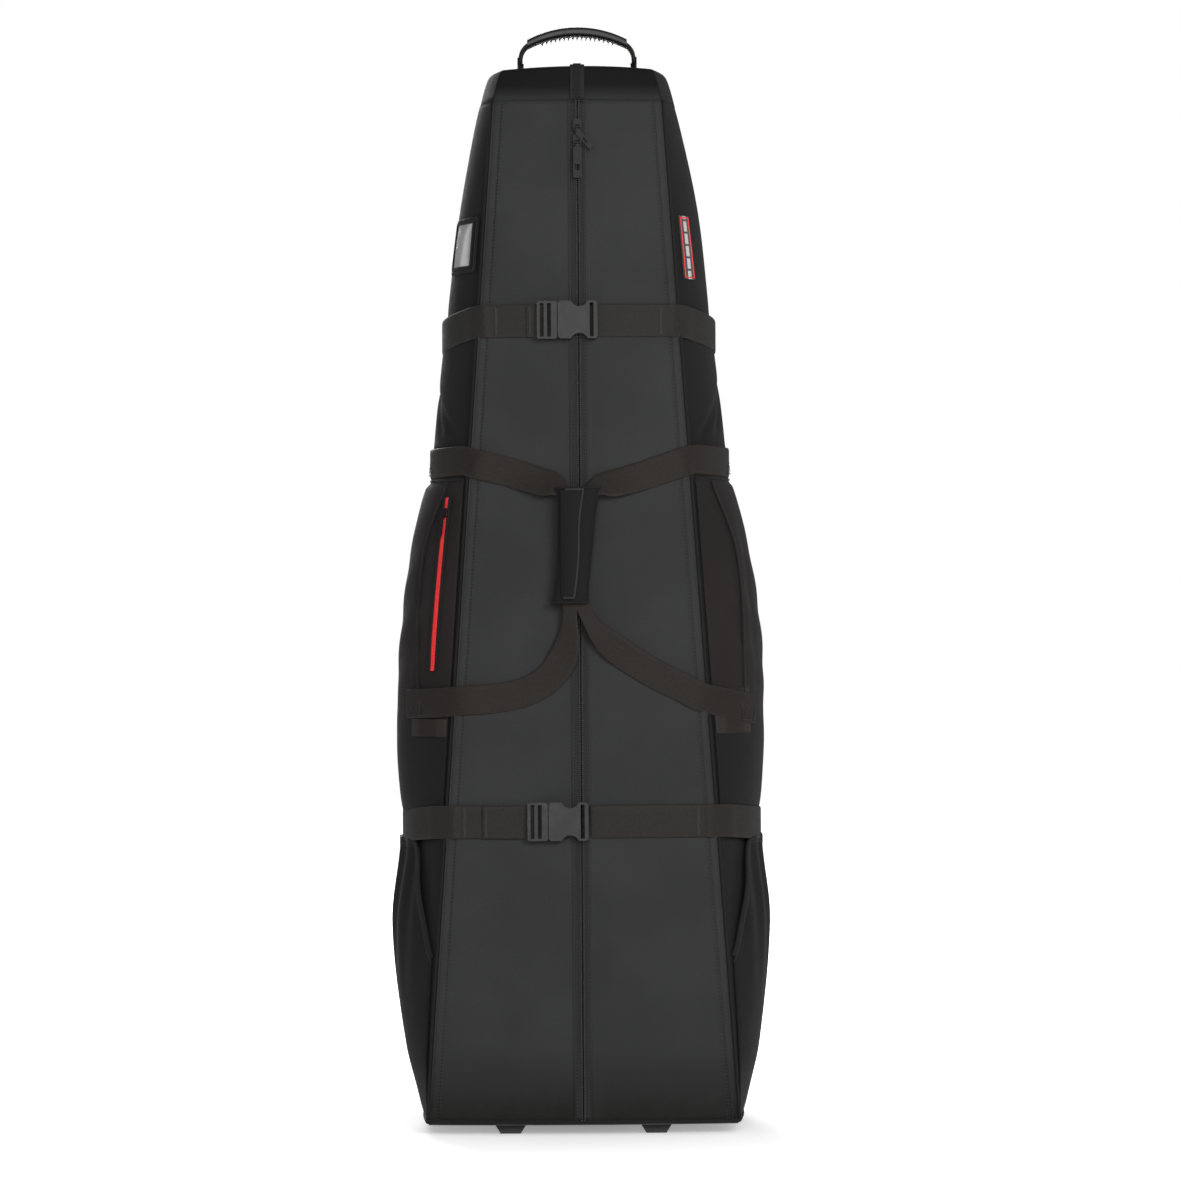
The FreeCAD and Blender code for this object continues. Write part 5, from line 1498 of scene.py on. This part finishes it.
class CASE_OT_shoe_pockets(bpy.types.Operator):
    """Shoe pockets: full bulging faces on the sides, piped, the left one with a red zipper."""
    bl_idname = "case.shoe_pockets"
    bl_label = "Shoe Pockets"

    def execute(self, context):
        sizes = context.scene.case_sizes
        for name, side in SIDES:
            rows, columns = 200, 90
            z = np.linspace(SHOE_LOW - 0.001, SHOE_HIGH + 0.001, rows)[:, None]
            share = np.linspace(0, 1, columns)[None]
            seat = ease(z, SHOE_LOW - 0.001, SHOE_LOW + 0.007)
            seat = seat * (1 - ease(z, SHOE_HIGH - 0.007, SHOE_HIGH + 0.001))
            relief = self.relief(z, share, sizes, side)
            outer, inner = seated(shoe_point, SHOE_SPAN, z, share, relief, seat, 0.0016)
            pocket = sheet(name + "_shoe_pocket_face", mirrored(outer, side),
                           mirrored(inner, side))
            fit(pocket, "pocket_cloth", "pocket_fabric", "shell", name + "_shoe_pocket")
            self.edging(sizes, name, side)
        self.zipper(sizes)
        return {"FINISHED"}

    def relief(self, z, share, sizes, side):
        """Cloth unevenness: slow waves, drag lines from the straps and a pinch under each."""
        edge = np.sin(np.pi * share) ** 0.5
        wave = sizes.unevenness * 2.2 * wander(share * 0.30, z, 61 + side)
        pinch = 0.0022 * bell(z, 0.351, 0.022) + 0.0014 * bell(z, 0.494, 0.020)
        drag = np.sin(95 * (z + 0.16 * share) + 2.5 * side) * bell(z, 0.58, 0.11)
        long_fold = bell(share, 0.30 + 0.25 * (z - 0.42) * side, 0.035) * bell(z, 0.62, 0.09)
        return (wave - pinch + 0.0009 * drag - 0.0016 * long_fold) * edge

    def edging(self, sizes, name, side):
        """Piping along the front gusset and round the outline, with a row of stitches."""
        z = np.linspace(0.500, 0.752, 130)
        x = np.interp(z, [0.500, 0.607, 0.669, 0.715, 0.752],
                      [0.189, 0.188, 0.183, 0.168, 0.150])
        share = softened(shares_at_x(shoe_point, z, softened(x, 8)), 10)
        line, normal = side_path(shoe_point, z, share, 0.0012)
        parts = [cord_parts(mirrored(line, side), sizes.piping * 0.8)]
        outline_z = np.linspace(SHOE_LOW + 0.004, SHOE_HIGH - 0.002, 120)
        edge = shoe_point(outline_z, 1.0, 0.0004)
        parts.append(cord_parts(mirrored(edge, side), sizes.piping * 0.8))
        top = side_point(SHOE_HIGH + 0.0012, np.linspace(*SHOE_SPAN, 60), 0.0010)
        parts.append(cord_parts(mirrored(top, side), sizes.piping * 0.7))
        fit(joined(name + "_pocket_piping", parts), "binding", "pocket_fabric", "shell")
        beside, normal = side_path(shoe_point, z, share + 0.016, 0.0008)
        row = stitch_parts(mirrored(beside, side), mirrored(normal, side), sizes.stitch)
        fit(joined(name + "_pocket_stitching", [row]), "thread", "pocket_fabric", "shell")

    def zipper(self, sizes):
        """Red coil zipper on the left pocket with a narrow dark welt on each side."""
        low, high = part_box("pocket_zip_tape")
        z = np.linspace(low.z + 0.001, high.z - 0.001, 160)
        share = np.full(160, 0.10)
        line, normal = side_path(shoe_point, z, share, 0.0013)
        taper = 0.62 + 0.38 * (1 - ease(z, 0.690, 0.712)) * ease(z, low.z, low.z + 0.030)
        tape = joined("pocket_tape", [ribbon_parts(mirrored(line, -1), mirrored(normal, -1),
                                                   0.0090, 0.0012, taper)])
        fit(tape, "red_tape", "red_zip", "shell", "pocket_zip_tape")
        middle, normal = side_path(shoe_point, z, share, 0.0021)
        coils = [coil_parts(mirrored(middle, -1), mirrored(normal, -1), side, sizes.tooth)
                 for side in (-1, 1)]
        fit(joined("pocket_coil", coils), "red_thread", "red_zip", "shell")
        welts = []
        for shift in (-0.0205, 0.0205):
            edge, normal = side_path(shoe_point, z, share + shift, 0.0016)
            welts.append(ribbon_parts(mirrored(edge, -1), mirrored(normal, -1), 0.0036, 0.0022))
        fit(joined("pocket_welts", welts), "binding", "pocket_fabric", "shell")


def mouth_top(share):
    """Height of the low pocket's open edge: it slants up from the front seam, then levels."""
    top = np.interp(share, [0.0, 0.04, 0.105, 0.155, 0.19, 1.0],
                    [0.196, 0.221, 0.262, 0.302, 0.333, 0.334])
    return softened(top, 3)


class CASE_OT_low_pockets(bpy.types.Operator):
    """Open lower pockets: sagging faces with a bound, slanting mouth."""
    bl_idname = "case.low_pockets"
    bl_label = "Lower Pockets"

    def execute(self, context):
        sizes = context.scene.case_sizes
        share = np.linspace(0, 1, 100)
        top = mouth_top(share)
        for name, side in SIDES:
            t = np.linspace(0, 1, 130)[:, None]
            foot = PANEL_LOW + 0.002
            z = foot + (top[None] - foot) * t
            s = np.broadcast_to(share[None], z.shape)
            edge = np.sin(np.pi * np.clip(s, 0, 1)) ** 0.5
            relief = sizes.unevenness * 2.4 * wander(s * 0.3, z, 71 + side) * edge
            relief = relief + 0.0020 * np.sin(42 * s + 9 * z) * edge * ease(z, 0.12, 0.30)
            seat = ease(z, foot - 0.004, 0.090)
            outer, inner = seated(low_point, LOW_POCKET_SPAN, z, s, relief, seat, 0.0015)
            pocket = sheet(name + "_low_pocket_face", mirrored(outer, side),
                           mirrored(inner, side))
            fit(pocket, "side_cloth", "side_fabric", "shell", name + "_lower_pocket")
            mouth = mirrored(outer[-1], side)
            normal = mirrored(unit(low_point(top, share, 0.01) - low_point(top, share, 0)), side)
            bound = ribbon_parts(mouth - normal * 0.0007, normal, 0.0090, 0.0030)
            fit(joined(name + "_mouth_binding", [bound]), "binding", "side_fabric", "shell")
            down = mouth + normal * 0.0010 + np.array([0, 0, -0.0052])
            sewn = joined(name + "_mouth_stitching", [stitch_parts(down, normal, sizes.stitch)])
            fit(sewn, "thread", "side_fabric", "shell")
        return {"FINISHED"}


def patch(name, z_low, z_high, share_low, share_high, out, thick, side, shape=0.0,
          surface=side_point):
    """Flat piece on the side panel, crowned by a small bulge: out + shape (1-u^4)(1-v^4)."""
    v = np.linspace(-1, 1, 40)[:, None]
    u = np.linspace(-1, 1, 30)[None]
    z = (z_low + z_high) / 2 + (z_high - z_low) / 2 * v
    share = (share_low + share_high) / 2 + (share_high - share_low) / 2 * u
    lift = out + thick + shape * (1 - u ** 4) * (1 - v ** 4)
    z, share, lift = np.broadcast_arrays(z, share, lift)
    outer = surface(z, share, lift)
    inner = surface(z, share, out)
    return sheet(name, mirrored(outer, side), mirrored(inner, side))


def border_line(z_low, z_high, share_low, share_high, out, side, around=26):
    """Closed rectangle on the side panel, as points and outward directions."""
    t = np.linspace(0, 1, around, endpoint=False)
    low, high = share_low, share_high
    share = np.concatenate([low + (high - low) * t, np.full(around, high),
                            high - (high - low) * t, np.full(around, low), [low, low + 0.002]])
    z = np.concatenate([np.full(around, z_low), z_low + (z_high - z_low) * t,
                        np.full(around, z_high), z_high - (z_high - z_low) * t, [z_low] * 2])
    line, normal = side_path(side_point, z, share, out)
    return mirrored(line, side), mirrored(normal, side)


class CASE_OT_trim(bpy.types.Operator):
    """Card holder with its clear window on the left, and the woven badge on the right."""
    bl_idname = "case.trim"
    bl_label = "Card Holder and Badge"

    def execute(self, context):
        sizes = context.scene.case_sizes
        holder = patch("card_pocket", CARD_Z - 0.029, CARD_Z + 0.036, 0.050, 0.355, 0.0006,
                       0.0015, -1, 0.0006)
        fit(holder, "binding", "side_fabric", "shell", "card_holder")
        window = patch("card_vinyl", CARD_Z - 0.022, CARD_Z + 0.030, 0.088, 0.315, 0.0018,
                       0.0010, -1, 0.0010)
        fit(window, "vinyl", "window_vinyl", "shell", "card_window")
        edge, normal = border_line(CARD_Z - 0.0225, CARD_Z + 0.0305, 0.086, 0.317, 0.0034, -1)
        bound = joined("card_binding", [ribbon_parts(edge, normal, 0.0032, 0.0016)])
        fit(bound, "binding", "side_fabric", "shell")
        row, normal = border_line(CARD_Z - 0.0265, CARD_Z + 0.0340, 0.062, 0.342, 0.0026, -1)
        sewn = joined("card_stitching", [stitch_parts(row, normal, sizes.stitch * 0.8)])
        fit(sewn, "thread", "side_fabric", "shell")
        self.badge()
        return {"FINISHED"}

    def badge(self):
        """Plate on the right side with a sewn border."""
        low, high, near, far = BADGE_Z - 0.034, BADGE_Z + 0.040, 0.070, 0.170
        plate = patch("badge_plate", low, high, near, far, 0.0006, 0.0014, 1, 0.0004)
        fit(plate, "badge", "badge", "shell", "badge")
        edge, normal = border_line(low + 0.002, high - 0.002, near + 0.008, far - 0.008,
                                   0.0024, 1)
        rim = joined("badge_border", [stitch_parts(edge, normal, 0.0010, 0.0020, 0.0016)])
        fit(rim, "red_thread", "badge", "shell")


# --- handle and inside ----------------------------------------------------------------------
class CASE_OT_handle(bpy.types.Operator):
    """Top handle: ridged grip on two webbing legs that swing on riveted anchors."""
    bl_idname = "case.handle"
    bl_label = "Top Handle"

    def execute(self, context):
        low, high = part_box("top_handle_legs")
        y = (low.y + high.y) / 2
        foot, top = high.x - 0.0014, high.z
        pin = (low.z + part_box("handle_anchors")[1].z) / 2
        parts = []
        for _, side in SIDES:
            points = [(foot - 0.018, top + 0.0025), (foot - 0.0095, top),
                      (foot - 0.003, top - 0.0065), (foot - 0.0002, top - 0.014),
                      (foot + 0.0002, pin + 0.003), (foot, pin - 0.0015)]
            line = smooth_path([(side * x, y, z) for x, z in points], 60)
            tangent = unit(np.gradient(line, axis=0))
            normal = np.cross(tangent, [0.0, 1.0, 0.0])
            taper = 1 - 0.62 * ease(np.linspace(0, 1, 60), 0.80, 0.97)
            parts.append(ribbon_parts(line, normal, high.y - low.y, 0.0046, taper))
        fit(joined("handle_webbing", parts), "carry_webbing", "webbing", "top_handle",
            "top_handle_legs")
        dress_node("grip", "top_handle_grip")
        dress_node("black_metal", "handle_anchors")
        return {"FINISHED"}


class CASE_OT_inside(bpy.types.Operator):
    """Inside: padded lining under the hood, and the straps that tie the bag in."""
    bl_idname = "case.inside"
    bl_label = "Inside"

    def execute(self, context):
        low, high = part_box("hood_pad")
        u = np.linspace(-1, 1, 50)[:, None]
        v = np.linspace(-1, 1, 44)[None]
        fullness = ((1 - u ** 6) * (1 - v ** 6)) ** 0.5
        channel = bell(u, -0.33, 0.05) + bell(u, 0.33, 0.05)
        x, y = np.broadcast_arrays((high.x - 0.002) * v,
                                   (low.y + high.y) / 2 + (high.y - low.y - 0.004) / 2 * u)
        top = np.broadcast_to(high.z - 0.0005 - 0.004 * (1 - fullness), x.shape)
        sag = high.z - 0.006 - 0.0095 * fullness * (1 - 0.45 * channel)
        pad = sheet("hood_padding", np.stack([x, y, top], -1), np.stack([x, y, sag], -1))
        dress(pad, "lining_cloth")
        fasten(pad, "foam", "shell", "hood_pad")
        low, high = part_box("tie_straps")
        parts = []
        for _, side in SIDES:
            x = np.linspace(0.019, high.x, 40)
            wave = 0.0006 * np.sin(x * 60)
            line = np.stack([side * x, np.full(40, (low.y + high.y) / 2) - wave * 0.5,
                             np.full(40, (low.z + high.z) / 2) + wave], 1)
            parts.append(ribbon_parts(line, np.tile([0.0, -1.0, 0.0], (40, 1)), WEB_WIDTH,
                                      WEB_THICK * 0.9))
        fit(joined("tie_webbing", parts), "webbing", "webbing", "shell", "tie_straps")
        dress_node("buckle", "tie_buckle")
        return {"FINISHED"}


# --- stage --------------------------------------------------------------------------------
class CASE_OT_stage(bpy.types.Operator):
    """Pale floor, white surroundings, soft lights and the camera."""
    bl_idname = "case.stage"
    bl_label = "Stage"

    def execute(self, context):
        scene = context.scene
        view = scene.case_view
        world = bpy.data.worlds.new("white_room")
        world.use_nodes = True
        n = Nodes(world.node_tree)
        seen = n.add("ShaderNodeLightPath").outputs["Is Camera Ray"]
        strength = n.math("MULTIPLY_ADD", seen, 1 - AMBIENT)
        strength.node.inputs[2].default_value = AMBIENT
        room = world.node_tree.nodes["Background"]
        room.inputs[0].default_value = (1, 1, 1, 1)
        n.feed(room.inputs[1], strength)
        scene.world = world
        scene.view_settings.view_transform = "Standard"
        corners = [(x * FLOOR_HALF, y * FLOOR_HALF, 0)
                   for x, y in ((-1, -1), (1, -1), (1, 1), (-1, 1))]
        floor = make_object("floor", corners, [(0, 1, 2, 3)], None, False)
        paint, n, shader = new_material("floor", 0.85, Specular_IOR_Level=0.2,
                                        Emission_Color=(1, 1, 1, 1))
        spot = n.add("ShaderNodeTexCoord").outputs
        seen = n.add("ShaderNodeLightPath").outputs["Is Camera Ray"]
        far = n.add("ShaderNodeVectorMath", operation="LENGTH")
        n.feed(far.inputs[0], spot["Object"])
        glow = n.math("MULTIPLY_ADD", far.outputs["Value"], GLOW_RISE)
        glow.node.inputs[2].default_value = GLOW
        n.feed(shader.inputs["Emission Strength"],
               n.math("MULTIPLY", seen, n.math("MINIMUM", glow, 1.0)))
        n.feed(shader.inputs["Base Color"], n.mix(n.noise(spot["Object"], 2.0),
                                                  (0.93, 0.93, 0.93, 1), (0.96, 0.96, 0.96, 1)))
        floor.data.materials.append(paint)
        for name, place, size, power in LIGHTS:
            light = bpy.data.lights.new(name, "AREA")
            light.shape = "DISK"
            light.size = size
            light.energy = power
            lamp = bpy.data.objects.new(name, light)
            lamp.location = place
            aim = Vector(AIM) - Vector(place)
            lamp.rotation_euler = aim.to_track_quat("-Z", "Y").to_euler()
            scene.collection.objects.link(lamp)
        data = bpy.data.cameras.new("camera")
        data.sensor_width = 36.0
        data.lens = data.sensor_width * view.distance / view.width
        camera = bpy.data.objects.new("camera", data)
        camera.location = (CAMERA_X, FRONT_BASE_Y + CAMERA_FORE - view.distance, CAMERA_Z)
        camera.rotation_euler = (math.radians(90), view.roll, 0)
        scene.collection.objects.link(camera)
        scene.camera = camera
        return {"FINISHED"}


class CASE_PT_panel(bpy.types.Panel):
    """Sidebar list of the case's pieces and settings."""
    bl_idname = "CASE_PT_panel"
    bl_label = "Travel Case"
    bl_space_type = "VIEW_3D"
    bl_region_type = "UI"
    bl_category = "Travel Case"

    def draw(self, context):
        for group in (context.scene.case_sizes, context.scene.case_tones,
                      context.scene.case_view):
            box = self.layout.box()
            for key in group.bl_rna.properties.keys():
                if key not in ("rna_type", "name"):
                    box.prop(group, key)
        for operator in OPERATORS:
            self.layout.operator(operator.bl_idname)


OPERATORS = (CASE_OT_front, CASE_OT_sides, CASE_OT_back, CASE_OT_hood, CASE_OT_piping,
             CASE_OT_base, CASE_OT_zipper, CASE_OT_shoe_pockets, CASE_OT_low_pockets,
             CASE_OT_straps, CASE_OT_carry, CASE_OT_wrap, CASE_OT_trim, CASE_OT_handle,
             CASE_OT_inside, CASE_OT_stage)
SETTINGS = (("case_sizes", CaseSizes), ("case_tones", CaseTones), ("case_view", CaseView))


def register():
    for name, group in SETTINGS:
        bpy.utils.register_class(group)
        setattr(bpy.types.Scene, name, PointerProperty(type=group))
    for kind in OPERATORS + (CASE_PT_panel,):
        bpy.utils.register_class(kind)


def unregister():
    for kind in (CASE_PT_panel,) + OPERATORS[::-1]:
        bpy.utils.unregister_class(kind)
    for name, group in SETTINGS[::-1]:
        delattr(bpy.types.Scene, name)
        bpy.utils.unregister_class(group)


def main():
    register()
    for operator in OPERATORS:
        group, call = operator.bl_idname.split(".")
        getattr(getattr(bpy.ops, group), call)()


if __name__ == "__main__":
    main()
